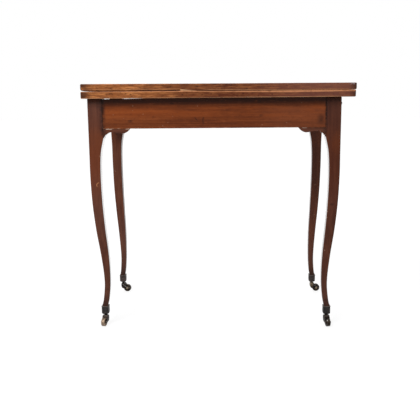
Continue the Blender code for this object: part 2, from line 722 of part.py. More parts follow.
def build_blocks():
    """Glue blocks behind the front rail and blocks in the back corners."""
    top = LEAF_UNDERSIDE - FIT
    long, deep, high = GLUE_BLOCK
    front = FRAME_FRONT + RAIL_THICKNESS + FIT
    back = BACK_RAIL_FRONT - FIT
    inset = STILE_WIDTH + GLUE_BLOCK_STILE_SPACE
    low = APRON_BOTTOM + CORNER_BLOCK_MARGIN
    for side, word in ((LEFT, "left"), (RIGHT, "right")):
        xs = sorted((side_x(side, inset), side_x(side, inset + long)))
        mesh = box_mesh((xs[0], front, top - high), (xs[1], front + deep, top))
        bevel(add_object(f"glue_block_{word}", mesh, WOOD_INSIDE), BLOCK_ARRIS, 1)
        near = RAIL_THICKNESS + FIT
        xs = sorted((side_x(side, near), side_x(side, near + CORNER_BLOCK_WIDTH)))
        mesh = box_mesh((xs[0], back - CORNER_BLOCK_WIDTH, low),
                        (xs[1], back, top - CORNER_BLOCK_MARGIN))
        bevel(add_object(f"corner_block_{word}", mesh, WOOD_INSIDE), BLOCK_ARRIS, 1)


def build_top_screws(lower_leaf, front_rail, back_rail):
    """Screws in slanting pockets, from the insides of the rails up into the leaf."""
    head = TOP_SCREW_HEAD_RADIUS
    shank = TOP_SCREW_SHANK_RADIUS
    length = TOP_SCREW_SEAT + TOP_SCREW_BITE
    screw = turned_mesh(((0, head / 2), (head / 2, head / 2), (head, FIT), (shank, FIT),
                         (shank, -length), (0, -length - shank)), PIN_STEPS)
    hole = rod_mesh(shank + FIT, length + shank + OVERRUN)
    pocket = rod_mesh(TOP_SCREW_POCKET_RADIUS, TOP_SCREW_POCKET_LENGTH, TURNED_STEPS)
    front = FRAME_FRONT + RAIL_THICKNESS / 2
    back = (BACK_RAIL_FRONT + BACK_RAIL_BACK) / 2
    for rail, y, face, row in ((front_rail, front, FRONT, "front"), (back_rail, back, BACK, "back")):
        up = Vector((0, face * math.sin(TOP_SCREW_TILT), math.cos(TOP_SCREW_TILT)))
        for side, word in ((LEFT, "left"), (RIGHT, "right")):
            mouth = Vector((FRAME_OFFSET + side * TOP_SCREW_SPREAD, y, FRAME_TOP))
            seat = mouth - up * TOP_SCREW_SEAT
            place = turn_to(up, seat)
            boolean(rail, hole, place=place)
            boolean(rail, pocket, place=turn_to(-up, seat))
            boolean(lower_leaf, hole, place=place)
            made = add_object(f"top_screw_{row}_{word}", screw.copy(), IRON)
            made.matrix_local = place


# Castors

def cup_rings():
    """Sections of a square cup from its floor, up the outside and down the inside."""
    half = leg_section(CUP_TOP)[2] / 2 + FIT + CUP_WALL
    inside = half - CUP_WALL
    levels = []
    for share in CUP_TOE_SHARES:
        angle = share * math.pi / 2
        shrink = CUP_TOE_RADIUS * (1 - math.sin(angle))
        levels.append((half - shrink, CUP_TOE_RADIUS * (1 - math.cos(angle)), CUP_CORNER_RADIUS))
    lip = CUP_HEIGHT - CUP_LIP_HEIGHT
    levels += [(half, lip - CUP_LIP, CUP_CORNER_RADIUS),
               (half + CUP_LIP, lip, CUP_CORNER_RADIUS + CUP_LIP),
               (half + CUP_LIP, CUP_HEIGHT - CUP_LIP, CUP_CORNER_RADIUS + CUP_LIP),
               (half, CUP_HEIGHT, CUP_CORNER_RADIUS),
               (inside, CUP_HEIGHT, LEG_ARRIS),
               (inside, CUP_FLOOR, LEG_ARRIS)]
    rings = []
    for size, z, radius in levels:
        ring = rounded_rectangle(size, size, radius, CUP_CORNER_STEPS)
        rings.append([(x, y, CUP_BOTTOM + z) for x, y in ring])
    return rings


def horn_outline():
    """The side of a castor's fork, X along the trail from the swivel, Y up."""
    top = CUP_BOTTOM - FIT - HORN_NECK_HEIGHT
    eye = (TRAIL, WHEEL_RADIUS)
    outline = [(-HORN_BACK + HORN_SHOULDER / 2, top), (-HORN_BACK, top - HORN_SHOULDER)]
    outline += [(-HORN_BACK, WHEEL_RADIUS + HORN_BACK + HORN_SHOULDER / 2),
                (-HORN_BACK / 2, WHEEL_RADIUS)]
    outline += arc(eye, (HORN_EYE_RADIUS, HORN_EYE_RADIUS), 235, 420, HORN_EYE_STEPS)
    outline += [(HORN_NECK_RADIUS + HORN_SHOULDER, top - HORN_SHOULDER),
                (HORN_NECK_RADIUS + HORN_SHOULDER / 2, top)]
    return outline


def castor_meshes():
    """The meshes that all four castors share."""
    reach = WHEEL_WIDTH / 2
    edge = WHEEL_RADIUS - WHEEL_SHOULDER / 2
    dish = reach - WHEEL_DISH_DEPTH
    crown = WHEEL_SHOULDER / 2
    wheel = turned_mesh((
        (AXLE_BORE, reach), (WHEEL_HUB_RADIUS, reach), (WHEEL_HUB_RADIUS + crown, dish),
        (WHEEL_DISH_RADIUS, dish), (WHEEL_DISH_RADIUS + crown, reach), (edge, reach),
        (WHEEL_RADIUS, reach - crown), (WHEEL_RADIUS, crown - reach), (edge, -reach),
        (WHEEL_DISH_RADIUS + crown, -reach), (WHEEL_DISH_RADIUS, -dish),
        (WHEEL_HUB_RADIUS + crown, -dish), (WHEEL_HUB_RADIUS, -reach), (AXLE_BORE, -reach),
        (AXLE_BORE, reach)))
    width = WHEEL_WIDTH + 2 * (HORN_WHEEL_SPACE + HORN_CHEEK)
    half = width / 2
    axle = turned_mesh((
        (0, half + AXLE_HEAD_HEIGHT), (AXLE_HEAD_RADIUS / 2, half + AXLE_HEAD_HEIGHT),
        (AXLE_HEAD_RADIUS, half + FIT), (AXLE_RADIUS, half + FIT),
        (AXLE_RADIUS, -half - FIT), (AXLE_HEAD_RADIUS, -half - FIT),
        (AXLE_HEAD_RADIUS / 2, -half - AXLE_HEAD_HEIGHT), (0, -half - AXLE_HEAD_HEIGHT)),
        PIN_STEPS)
    head = CUP_BOTTOM + CUP_FLOOR + FIT
    tail = CUP_BOTTOM - FIT - HORN_NECK_HEIGHT - HORN_SHOULDER
    pivot = turned_mesh((
        (0, head + PIVOT_HEAD_HEIGHT), (PIVOT_HEAD_RADIUS / 2, head + PIVOT_HEAD_HEIGHT),
        (PIVOT_HEAD_RADIUS, head), (PIVOT_RADIUS, head), (PIVOT_RADIUS, tail), (0, tail)),
        PIN_STEPS)
    for mesh in (wheel, axle):
        mesh.transform(Matrix.Rotation(math.radians(90), 4, "X"))
    horn = plate_mesh(horn_outline(), width)
    horn.transform(Matrix.Rotation(math.radians(90), 4, "X"))
    return {"wheel": wheel, "axle": axle, "pivot": pivot, "horn": horn, "width": width}


def build_castor(word, centre, shared, parent=None, parent_place=Vector((0, 0, 0))):
    """One castor: its cup on the foot, and a fork and wheel that swivel under it."""
    base = centre - parent_place
    cup = add_object(f"castor_cup_{word}", loft_mesh(cup_rings()), GUNMETAL, base, parent)
    hole = rod_mesh(PIVOT_RADIUS + FIT, CUP_FLOOR + 2 * OVERRUN)
    boolean(cup, hole, place=Matrix.Translation(base + Vector((0, 0, CUP_BOTTOM + CUP_FLOOR
                                                               + OVERRUN))), parent=parent)
    swivel = add_pivot(f"castor_swivel_{word}", base, CASTOR_ANGLES[word], parent)
    horn = add_object(f"castor_horn_{word}", shared["horn"].copy(), GUNMETAL, (0, 0, 0), swivel)
    bevel(horn, HORN_SHOULDER / 4, 1, math.radians(60))
    top = CUP_BOTTOM - FIT
    neck = rod_mesh(HORN_NECK_RADIUS, HORN_NECK_HEIGHT + HORN_SHOULDER, TURNED_STEPS)
    boolean(horn, neck, "UNION", Matrix.Translation((0, 0, top)), swivel)
    slot = rod_mesh(WHEEL_RADIUS + HORN_WHEEL_SPACE, WHEEL_WIDTH + 2 * HORN_WHEEL_SPACE,
                    TURNED_STEPS)
    half = WHEEL_WIDTH / 2 + HORN_WHEEL_SPACE
    axis = Vector((TRAIL, 0, WHEEL_RADIUS))
    boolean(horn, slot, place=turn_to((0, -1, 0), axis + Vector((0, half, 0))), parent=swivel)
    hole = rod_mesh(PIVOT_RADIUS + FIT, HORN_NECK_HEIGHT + HORN_SHOULDER + FIT + OVERRUN)
    boolean(horn, hole, place=Matrix.Translation((0, 0, top + OVERRUN)), parent=swivel)
    eye = rod_mesh(AXLE_RADIUS + FIT, shared["width"] + 2 * OVERRUN)
    spot = axis + Vector((0, shared["width"] / 2 + OVERRUN, 0))
    boolean(horn, eye, place=turn_to((0, -1, 0), spot), parent=swivel)
    add_object(f"castor_pivot_{word}", shared["pivot"].copy(), IRON, (0, 0, 0), swivel)
    add_object(f"castor_axle_{word}", shared["axle"].copy(), IRON, axis, swivel)
    add_object(f"castor_wheel_{word}", shared["wheel"].copy(), WHEEL_BRASS, axis, swivel)


# The whole table

def build_table():
    lower_leaf = build_top()
    legs, front_rail = build_front()
    back_rail = build_sides(legs)
    build_fixed_fly()
    build_blocks()
    build_top_screws(lower_leaf, front_rail, back_rail)
    shared = castor_meshes()
    for side, word in ((LEFT, "left"), (RIGHT, "right")):
        build_castor(f"front_{word}", foot_centre(side, FRONT), shared)
        pivot, pin = build_gate(side, word)
        build_castor(f"back_{word}", foot_centre(side, BACK), shared, pivot, pin)


clear_scene()
TABLE = new_collection("games_table")
CUTTERS = new_collection("cutters")
WOOD_TOP = material("mahogany_top", 128, 78, 50, 0.38)
WOOD_FRAME = material("mahogany_frame", 104, 56, 36, 0.45)
WOOD_INSIDE = material("secondary_wood", 150, 108, 74, 0.7)
BAIZE = material("baize", 48, 84, 58, 0.95)
BRASS = material("brass", 168, 132, 74, 0.35, 1.0)
WHEEL_BRASS = material("wheel_brass", 150, 128, 106, 0.4, 1.0)
GUNMETAL = material("gunmetal", 58, 53, 51, 0.5, 0.8)
IRON = material("iron", 84, 78, 74, 0.5, 0.9)
build_table()
bpy.context.view_layer.update()
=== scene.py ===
import json
import math
from functools import partial

import bmesh
import bpy
from mathutils import Matrix, Vector, noise


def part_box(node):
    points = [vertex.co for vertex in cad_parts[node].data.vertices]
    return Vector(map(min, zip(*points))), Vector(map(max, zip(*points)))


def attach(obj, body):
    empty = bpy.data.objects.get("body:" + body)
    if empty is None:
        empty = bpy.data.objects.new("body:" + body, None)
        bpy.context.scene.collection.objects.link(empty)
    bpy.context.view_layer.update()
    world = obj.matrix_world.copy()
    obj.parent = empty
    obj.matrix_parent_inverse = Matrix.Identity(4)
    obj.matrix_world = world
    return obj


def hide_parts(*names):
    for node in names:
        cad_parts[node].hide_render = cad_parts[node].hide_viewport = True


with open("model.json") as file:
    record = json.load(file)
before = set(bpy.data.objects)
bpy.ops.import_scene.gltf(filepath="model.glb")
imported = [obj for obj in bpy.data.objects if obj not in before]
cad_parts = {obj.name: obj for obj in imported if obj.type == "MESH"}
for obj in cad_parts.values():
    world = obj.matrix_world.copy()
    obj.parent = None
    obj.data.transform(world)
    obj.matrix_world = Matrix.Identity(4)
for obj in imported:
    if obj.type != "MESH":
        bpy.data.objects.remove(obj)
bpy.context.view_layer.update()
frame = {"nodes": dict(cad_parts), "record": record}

# Looks of the fold-over games table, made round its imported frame.
record = frame["record"]
bodyOf = {node: body for body, nodes in record["behaviour"]["bodies"].items() for node in nodes}
slotOf = {row["node"]: row["material_slot"] for row in record["subparts"]}
print("frame loaded:", len(bodyOf), "nodes")


# small helps for modelling by hand

def allOff():
    if bpy.context.mode != "OBJECT":
        bpy.ops.object.mode_set(mode="OBJECT")
    bpy.ops.object.select_all(action="DESELECT")


def activate(piece):
    allOff()
    piece.select_set(True)
    bpy.context.view_layer.objects.active = piece


def settle(piece):
    activate(piece)
    bpy.ops.object.transform_apply(location=True, rotation=True, scale=True)
    return piece


def called(piece, name):
    piece.name = name
    piece.data.name = name
    return piece


def discard(piece):
    bpy.data.objects.remove(piece, do_unlink=True)


def titled(node):
    # front_left as FrontLeft
    return "".join(word.title() for word in node.split("_"))


def plainName(node):
    # leg_front_left as legFrontLeft
    title = titled(node)
    return title[0].lower() + title[1:]


def turnBy(degrees, axis):
    return Matrix.Rotation(math.radians(degrees), 4, axis)


def addBlock(name, low, high):
    low, high = Vector(low), Vector(high)
    allOff()
    bpy.ops.mesh.primitive_cube_add(size=1, location=(low + high) / 2)
    piece = called(bpy.context.object, name)
    piece.scale = high - low
    return settle(piece)


def addDisc(name, radius, depth, sides, base=0):
    # rises along z from its base
    allOff()
    bpy.ops.mesh.primitive_cylinder_add(vertices=sides, radius=radius, depth=depth,
            location=(0, 0, base + depth / 2))
    return settle(called(bpy.context.object, name))


def pick(piece, kind, test):
    # leaves the piece in edit mode with only the wanted edges or faces selected
    activate(piece)
    bpy.ops.object.mode_set(mode="EDIT")
    bpy.ops.mesh.select_mode(type=kind)
    bpy.ops.mesh.select_all(action="DESELECT")
    shape = bmesh.from_edit_mesh(piece.data)
    shape.normal_update()
    for part in shape.edges if kind == "EDGE" else shape.faces:
        if test(part):
            part.select_set(True)
    bmesh.update_edit_mesh(piece.data)


def facesUp(face):
    return face.normal.z > 0.9


def upright(face):
    # flats that look along x or y, without the rounded arrises between them
    return (abs(face.normal.x) < 0.05) != (abs(face.normal.y) < 0.05)


def rises(edge):
    return abs((edge.verts[0].co - edge.verts[1].co).normalized().z) > 0.3


def doneEditing():
    bpy.ops.object.mode_set(mode="OBJECT")


def useModifier(piece, kind, **settings):
    activate(piece)
    step = piece.modifiers.new(kind.lower(), kind)
    for key, value in settings.items():
        setattr(step, key, value)
    bpy.ops.object.modifier_apply(modifier=step.name)


def soften(piece, width, segments=3, angle=35):
    useModifier(piece, "BEVEL", width=width, segments=segments, limit_method="ANGLE",
            angle_limit=math.radians(angle), use_clamp_overlap=True)


def carve(piece, cutter, operation="DIFFERENCE"):
    useModifier(piece, "BOOLEAN", object=cutter, operation=operation, solver="EXACT")
    discard(cutter)


def ringFlats(piece, test, widths, alone=False):
    # rings just inside the chosen flats, so that wear read from curvature stays at the arrises
    pick(piece, "FACE", test)
    for width in widths:
        bpy.ops.mesh.inset(thickness=width, use_individual=alone)
    doneEditing()


def cutAcross(piece, axis, spots):
    for spot in spots:
        pick(piece, "FACE", lambda face: True)
        bpy.ops.mesh.bisect(plane_co=along(axis, spot, 0), plane_no=along(axis, 1, 0))
        doneEditing()


def editAll(piece):
    activate(piece)
    bpy.ops.object.mode_set(mode="EDIT")
    bpy.ops.mesh.select_all(action="SELECT")


def faceOut(piece):
    editAll(piece)
    bpy.ops.mesh.remove_doubles(threshold=0.00001)
    bpy.ops.mesh.normals_make_consistent(inside=False)
    doneEditing()
    return piece


def smoothBy(piece, angle=40):
    activate(piece)
    bpy.ops.object.shade_smooth_by_angle(angle=math.radians(angle))


def closed(piece, angle):
    faceOut(piece)
    smoothBy(piece, angle)
    return piece


def copyOf(piece, name, place=None):
    # a copy with its own mesh, moved or mirrored by a matrix
    activate(piece)
    bpy.ops.object.duplicate()
    twin = called(bpy.context.object, name)
    if place is not None:
        twin.data.transform(place)
        if place.to_3x3().determinant() < 0:
            faceOut(twin)
    return twin


def outlinePlate(name, points, thickness, arris):
    # a flat outline in x and y, thick about z = 0, with rounded edges
    allOff()
    bpy.ops.curve.primitive_bezier_curve_add(location=(0, 0, 0))
    piece = bpy.context.object
    curve = piece.data
    curve.dimensions = "2D"
    curve.fill_mode = "BOTH"
    line = curve.splines[0]
    line.bezier_points.add(len(points) - 2)
    for spot, (x, y) in zip(line.bezier_points, points):
        spot.co = (x, y, 0)
        spot.handle_left_type = spot.handle_right_type = "VECTOR"
    line.use_cyclic_u = True
    line.resolution_u = 1
    curve.extrude = thickness / 2 - arris
    curve.bevel_depth = arris
    curve.bevel_resolution = 2
    curve.offset = -arris
    bpy.ops.object.convert(target="MESH")
    return faceOut(called(piece, name))


def stackUp(name, rings):
    # a four-sided piece built upward by extruding its top; a ring is (centre, width)
    (first, size), (second, _) = rings[0], rings[1]
    half = size / 2
    piece = addBlock(name, (first.x - half, first.y - half, first.z),
            (first.x + half, first.y + half, second.z))
    pick(piece, "FACE", facesUp)
    before = Vector((first.x, first.y, second.z))
    for centre, wide in rings[1:]:
        if centre is second:
            bpy.ops.transform.translate(value=centre - before)
        else:
            bpy.ops.mesh.extrude_region_move(TRANSFORM_OT_translate={"value": centre - before})
        bpy.ops.transform.resize(value=(wide / size, wide / size, 1), center_override=centre)
        before, size = centre, wide
    doneEditing()
    return piece


def painted(piece, finish):
    piece.data.materials.clear()
    piece.data.materials.append(finish)


def dressed(piece, node, finish, replaced=()):
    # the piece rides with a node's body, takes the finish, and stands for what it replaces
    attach(piece, bodyOf[node])
    if replaced:
        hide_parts(*replaced)
    painted(piece, finish)


# finishes

def bothWays(operation):
    # an operator and its reflected form
    def straight(sock, other):
        return sock.finish.maths(operation, sock, other)

    def reflected(sock, other):
        return sock.finish.maths(operation, other, sock)

    return straight, reflected


class Sock:
    # a node's output, so that shader maths reads as a sum
    def __init__(self, finish, socket):
        self.finish, self.socket = finish, socket

    __add__, __radd__ = bothWays("ADD")
    __sub__, __rsub__ = bothWays("SUBTRACT")
    __mul__, __rmul__ = bothWays("MULTIPLY")
    __truediv__, __rtruediv__ = bothWays("DIVIDE")

    def size(self):
        return self.finish.maths("ABSOLUTE", self)

    def between(self, low, high):
        # 0 under low and 1 over high, or the other way round where low is the larger
        return self.finish.node("MapRange", {"Value": self, "From Min": low, "From Max": high},
                {"interpolation_type": "SMOOTHSTEP", "clamp": True})

    def near(self, centre, reach):
        # 1 at centre, falling to 0 at reach on both sides
        return (self - centre).size().between(reach, 0)

    def graph(self, *points):
        # a number read off a line through points of (value, number)
        low, high = points[0][0], points[-1][0]
        share = self.finish.node("MapRange", {"Value": self, "From Min": low, "From Max": high})
        stops = [((at - low) / (high - low), (much,) * 3) for at, much in points]
        return self.finish.ramp(share, stops)


class Finish:
    # a node tree, of a new material unless one is given
    def __init__(self, name, tree=None):
        if tree is None:
            self.material = bpy.data.materials.new(name)
            self.material.use_nodes = True
            tree = self.material.node_tree
        self.tree = tree
        self.tree.nodes.clear()

    def node(self, kind, sockets=None, settings=None, out=0):
        made = self.tree.nodes.new("ShaderNode" + kind)
        for key, value in (settings or {}).items():
            if key == "stops":
                ramp = made.color_ramp
                while len(ramp.elements) < len(value):
                    ramp.elements.new(0.5)
                for element, (spot, colour) in zip(ramp.elements, value):
                    element.position = spot
                    element.color = (*colour, 1)
            else:
                setattr(made, key, value)
        for key, value in (sockets or {}).items():
            if isinstance(value, Sock):
                self.tree.links.new(value.socket, made.inputs[key])
            elif isinstance(value, (tuple, list)) and made.inputs[key].type == "RGBA":
                made.inputs[key].default_value = (*value[:3], 1)
            else:
                made.inputs[key].default_value = value
        return Sock(self, made.outputs[out]) if made.outputs else None

    def maths(self, operation, a, b=0):
        return self.node("Math", {0: a, 1: b}, {"operation": operation})

    def most(self, a, b):
        return self.maths("MAXIMUM", a, b)

    def distance(self, a, b):
        return self.maths("SQRT", a * a + b * b)

    def moved(self, **sockets):
        # the object's own coordinates, moved, turned or scaled
        where = self.node("TexCoord", out="Object")
        return self.node("Mapping", {"Vector": where, **sockets}) if sockets else where

    def axes(self, **sockets):
        where = self.moved(**sockets)
        return [self.node("SeparateXYZ", {0: where}, out=k) for k in range(3)]

    def noise(self, scale, detail=3, roughness=0.6, distortion=0, shift=(0, 0, 0)):
        scale = scale if isinstance(scale, tuple) else (scale,) * 3
        return self.node("TexNoise", {"Vector": self.moved(Location=shift, Scale=scale), "Scale": 1,
                "Detail": detail, "Roughness": roughness, "Distortion": distortion})

    def speckle(self, scale, low, high, shift=(0, 0, 0), detail=3, roughness=0.6, distortion=0):
        # 1 where noise is past high and 0 where it is under low
        return self.noise(scale, detail, roughness, distortion, shift).between(low, high)

    def cells(self, scale, shift, out):
        return self.node("TexVoronoi", {"Vector": self.moved(Location=shift, Scale=scale),
                "Scale": 1}, out=out)

    def chosenCells(self, scale, shift, outer, inner, fewness):
        # spots in a few of the cells, 1 within inner and 0 past outer
        spots = self.cells(scale, shift, "Distance").between(outer, inner)
        lot = self.node("SeparateColor", {0: self.cells(scale, shift, "Color")})
        return spots * lot.between(fewness, fewness + 0.02)

    def ramp(self, value, stops):
        return self.node("ValToRGB", {"Fac": value}, {"stops": stops})

    def mix(self, share, a, b):
        return self.node("Mix", {0: share, 6: a, 7: b}, {"data_type": "RGBA"}, 2)

    def marked(self, colour, *marks):
        # marks laid over a colour in turn, each as (how much of it shows, its own colour)
        for share, shade in marks:
            colour = self.mix(share, colour, paint(*shade))
        return colour

    def edges(self, low, high):
        # worn arrises, from the curvature that the mesh holds
        return self.node("NewGeometry", out="Pointiness").between(low, high)

    def bump(self, height, strength, distance=0.0004):
        return self.node("Bump", {"Height": height, "Strength": strength, "Distance": distance})

    def seen(self):
        # 1 for what the eye sees straight, mirrored or through glass, 0 for light cast on pieces
        kinds = [self.node("LightPath", out=f"Is {kind} Ray")
                for kind in ("Camera", "Glossy", "Transmission")]
        return self.most(self.most(kinds[0], kinds[1]), kinds[2])

    def close(self, sockets, gloss=None):
        shader = self.node("BsdfPrincipled", sockets)
        if gloss is not None:
            # polish turns to a mirror where it is seen nearly edge on
            start, end, blur = gloss
            facing = self.node("LayerWeight", {"Blend": 0.5}, out="Facing")
            shine = self.node("BsdfGlossy", {"Color": (1, 1, 1), "Roughness": blur})
            shader = self.node("MixShader", {0: facing.between(start, end), 1: shader, 2: shine})
        self.node("OutputMaterial", {"Surface": shader})
        return self.material


def paint(red, green, blue):
    # an everyday colour of 0 to 255, as light
    def linear(value):
        share = value / 255
        return share / 12.92 if share <= 0.04045 else ((share + 0.055) / 1.055) ** 2.4
    return linear(red), linear(green), linear(blue)


def along(axis, run, across):
    # one number along an axis, and another across it
    return tuple(run if k == axis else across for k in range(3))


def woodColour(fin, look, axis, shift):
    # broad figure, streaks, fibre, pores, stains, knocks and dust, as (colour, height, roughness)
    seed = (shift * 3.1, shift * 1.7, shift * 2.3)
    figure = fin.noise(along(axis, look["figureRun"], look["figureAcross"]), 3, 0.5, 0.15, seed)
    streak = fin.noise(along(axis, look["streakRun"], look["streakAcross"]), 4, 0.62, 0.12, seed)
    fibre = fin.noise(along(axis, 22, 900), 3, 0.6, 0, seed)
    mottle = fin.noise(along(axis, look["mottle"] * 0.55, look["mottle"]), 4, 0.6, 0.3, seed)
    tone = figure * look["figureShare"] + streak * look["streakShare"]
    tone = tone + mottle * look["mottleShare"] + fibre * look["fibreShare"]
    tone = tone / sum(look[f"{part}Share"] for part in ("figure", "streak", "mottle", "fibre"))
    colour = fin.ramp(tone.between(0.3, 0.7),
            [(0, paint(*look["dark"])), (0.5, paint(*look["mid"])), (1, paint(*look["light"]))])
    lines = fin.speckle(along(axis, 9, 330), 0.6, 0.72, (shift, 3, 8), 2, 0.5, 0.2)
    pores = fin.speckle(along(axis, 90, 1700), 0.62, 0.7, seed, 2, 0.5)
    stain = fin.speckle(along(axis, 9, 16), 0.58, 0.8, (shift, 5, 1), 4, 0.6, 0.4)
    size = look["knockEvery"]
    knocks = fin.chosenCells((size * 0.7, size, size * 1.2), (7, shift, 3), 0.22, 0.1, 0.72)
    dust = fin.chosenCells((look["dustEvery"],) * 3, (shift, 2, 9), 0.13, 0.07, 0.8)
    colour = fin.marked(colour, (lines * look["lines"], look["pore"]),
            (pores * look["pores"], look["pore"]), (stain * look["stain"], look["pore"]),
            (knocks * look["knocks"], look["knockColour"]),
            (dust * look["dust"], look["dustColour"]))
    height = fibre * 0.35 - pores * 0.5 - knocks * 0.9 + streak * 0.25
    rough = mottle * 0.16 + stain * 0.15 + pores * 0.1 + (look["rough"] - 0.08)
    return colour, height, rough


mahoganyLook = {
    "dark": (90, 41, 20), "mid": (123, 60, 28), "light": (156, 82, 42),
    "pore": (44, 21, 13), "pores": 0.35, "lines": 0.2, "figureRun": 1.6, "figureAcross": 24,
    "figureShare": 0.35, "streakRun": 5, "streakAcross": 150, "streakShare": 0.6, "mottle": 60,
    "mottleShare": 0.1, "fibreShare": 0.14, "stain": 0.1, "knockEvery": 34, "knocks": 0.55,
    "knockColour": (48, 23, 16), "dustEvery": 70, "dust": 0.45, "dustColour": (212, 172, 144),
    "rough": 0.34, "shine": 0.12, "wear": (156, 92, 54), "worn": 0.6, "wearBand": (0.515, 0.56),
    "bump": 0.22,
}
legLook = dict(mahoganyLook, dark=(78, 41, 30), mid=(104, 59, 43), light=(128, 77, 56), streakRun=5,
        streakAcross=110, knocks=0.5, dust=0.6, dustEvery=58, wear=(140, 84, 60))
edgeLook = dict(mahoganyLook, dark=(82, 41, 23), mid=(118, 66, 38), light=(158, 96, 54),
        figureShare=0.3, streakAcross=190, mottle=75, mottleShare=0.6, knocks=0.8, knockEvery=52,
        dust=0.15, stain=0.5, wear=(176, 122, 82))
earLook = dict(mahoganyLook, dark=(66, 36, 26), mid=(96, 54, 39), light=(122, 74, 56), pores=0.25)
insideLook = dict(mahoganyLook, dark=(112, 76, 50), mid=(146, 104, 70), light=(172, 130, 90),
        pore=(84, 54, 36), streakRun=3, streakAcross=120, stain=0.6, knocks=0.3, dust=0.2,
        rough=0.62, wear=(186, 148, 108), bump=0.35)
polish = (0.66, 0.91, 0.14)
edgePolish = (0.75, 1, 0.2)
legPolish = {("front", "left"): (0.66, 0.91, 0.14), ("front", "right"): (0.71, 0.96, 0.14),
        ("back", "left"): (0.78, 1, 0.16), ("back", "right"): (0.76, 1, 0.16)}


def woodFinish(name, look, axis, shift, marks=None, gloss=None):
    fin = Finish(name)
    colour, height, rough = woodColour(fin, look, axis, shift)
    patchy = fin.speckle(40, 0.38, 0.62, (shift, 0, 4))
    worn = fin.edges(*look["wearBand"]) * patchy * look["worn"]
    colour = fin.marked(colour, (worn, look["wear"]))
    if marks is not None:
        colour = marks(fin, colour)
    return fin.close({"Base Color": colour, "Roughness": rough, "Specular IOR Level": look["shine"],
            "Normal": fin.bump(height, look["bump"])}, gloss)


# the folding top

topLook = {
    "cornerRadius": 0.0052, "edgeRound": 0.0013, "parts": 64, "leftReach": 0.0006,
    "leftLift": 0.0014, "rightSink": 0.0009, "endRound": 0.005, "endDrop": 0.0028,
    "ripple": 0.00022, "cornerRise": 0.0034, "cornerRun": 0.024, "endSlack": 0.0017,
    "room": 0.0003, "cutOver": 0.004,
    "grain": {"upper": 2, "lower": 6.4}, "endCuts": (0.0018, 0.0026, 0.0036, 0.0048),
    "frontCuts": (0.0028, 0.005), "faceCuts": (0.003, 0.005),
}


def wavering(piece, amount, rate):
    # small hand-made unevenness, the same at each run
    for vert in piece.data.vertices:
        spot = vert.co * rate
        vert.co += Vector((noise.noise(spot), noise.noise(spot + Vector((9, 4, 2))),
                noise.noise(spot + Vector((3, 8, 5))))) * amount


def makeLeaf(name, node):
    low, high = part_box(node)
    piece = addBlock(name, low, high)
    pick(piece, "EDGE", rises)
    bpy.ops.mesh.bevel(offset=topLook["cornerRadius"], segments=5)
    doneEditing()
    soften(piece, topLook["edgeRound"], 4, 60)
    # cuts, so that the long edges can waver, the corners can lift and wear keeps to the arrises
    count = topLook["parts"]
    cuts = [low.x + (high.x - low.x) * k / count for k in range(1, count)]
    for run in topLook["endCuts"]:
        cuts += [low.x + run, high.x - run]
    cutAcross(piece, 0, cuts)
    for axis, (near, far) in ((1, topLook["frontCuts"]), (2, topLook["faceCuts"])):
        a, b = low[axis], high[axis]
        cutAcross(piece, axis, [a + near, a + far, b - far, b - near])
    return piece


def roomFor(node):
    low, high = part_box(node)
    room = Vector((topLook["room"],) * 3)
    return low - room, high + room


def cutTop(piece, node, brasses, cloth):
    # the recess for the cloth, and seats for the hinges as deep as the brass
    low, high = roomFor(cloth)
    if "lower" in node:
        high.z += topLook["cutOver"]
    else:
        low.z -= topLook["cutOver"]
    carve(piece, addBlock("cutter", low, high))
    for brass in brasses:
        carve(piece, addBlock("cutter", *roomFor(brass)))


def topEdgeMarks(upper, fin, colour):
    x, y, z = fin.axes()
    front = y.between(-0.215, -0.22)
    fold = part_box("upper_leaf")[0].z
    ragged = fin.speckle(70, 0.3, 0.55) * 0.4 + 0.6
    # painted light, warm gold at the left with painted highlight streaks, painted shade from the
    # duller middle to the right, rosy at the right, darker at the ends, with pits and knocks
    litGolden = x.graph((-0.39, 0.55), (-0.25, 0.75), (-0.21, 0.45 if upper else 0.62),
            (-0.13, 0.2 if upper else 0.3), (-0.04, 0))
    pits = fin.speckle((85, 60, 200), 0.5, 0.68, (3, 1, 6), 5, 0.7)
    lit = fin.speckle((26, 60, 230), 0.48, 0.68, (8, 1, 2), 4, 0.65)
    blots = fin.chosenCells((70, 60, 120), (2, 5, 3), 0.28, 0.12, 0.56)
    rosy, deep = x.between(0.04, 0.3), x.between(-0.14, -0.05)
    ends = fin.most(x.between(-0.352, -0.388), x.between(0.366, 0.388))
    colour = fin.marked(colour, (litGolden * front * 0.8, (188, 112, 60)),
            (pits * front * 0.72, (60, 29, 17)),
            (lit * front * (litGolden * 0.75 + 0.3), (226, 148, 88)),
            (blots * front * 0.8, (50, 25, 17)), (rosy * front * 0.5, (150, 100, 86)),
            (deep * front * (0.14 if upper else 0.3), (92, 22, 10)),
            (ends * fin.speckle(60, 0.3, 0.5, detail=4) * 0.8, (66, 38, 28)))
    if upper:
        return upperMarks(fin, colour, x, y, z - fold, front, ragged)
    return lowerMarks(fin, colour, x, z - fold, front, ragged)


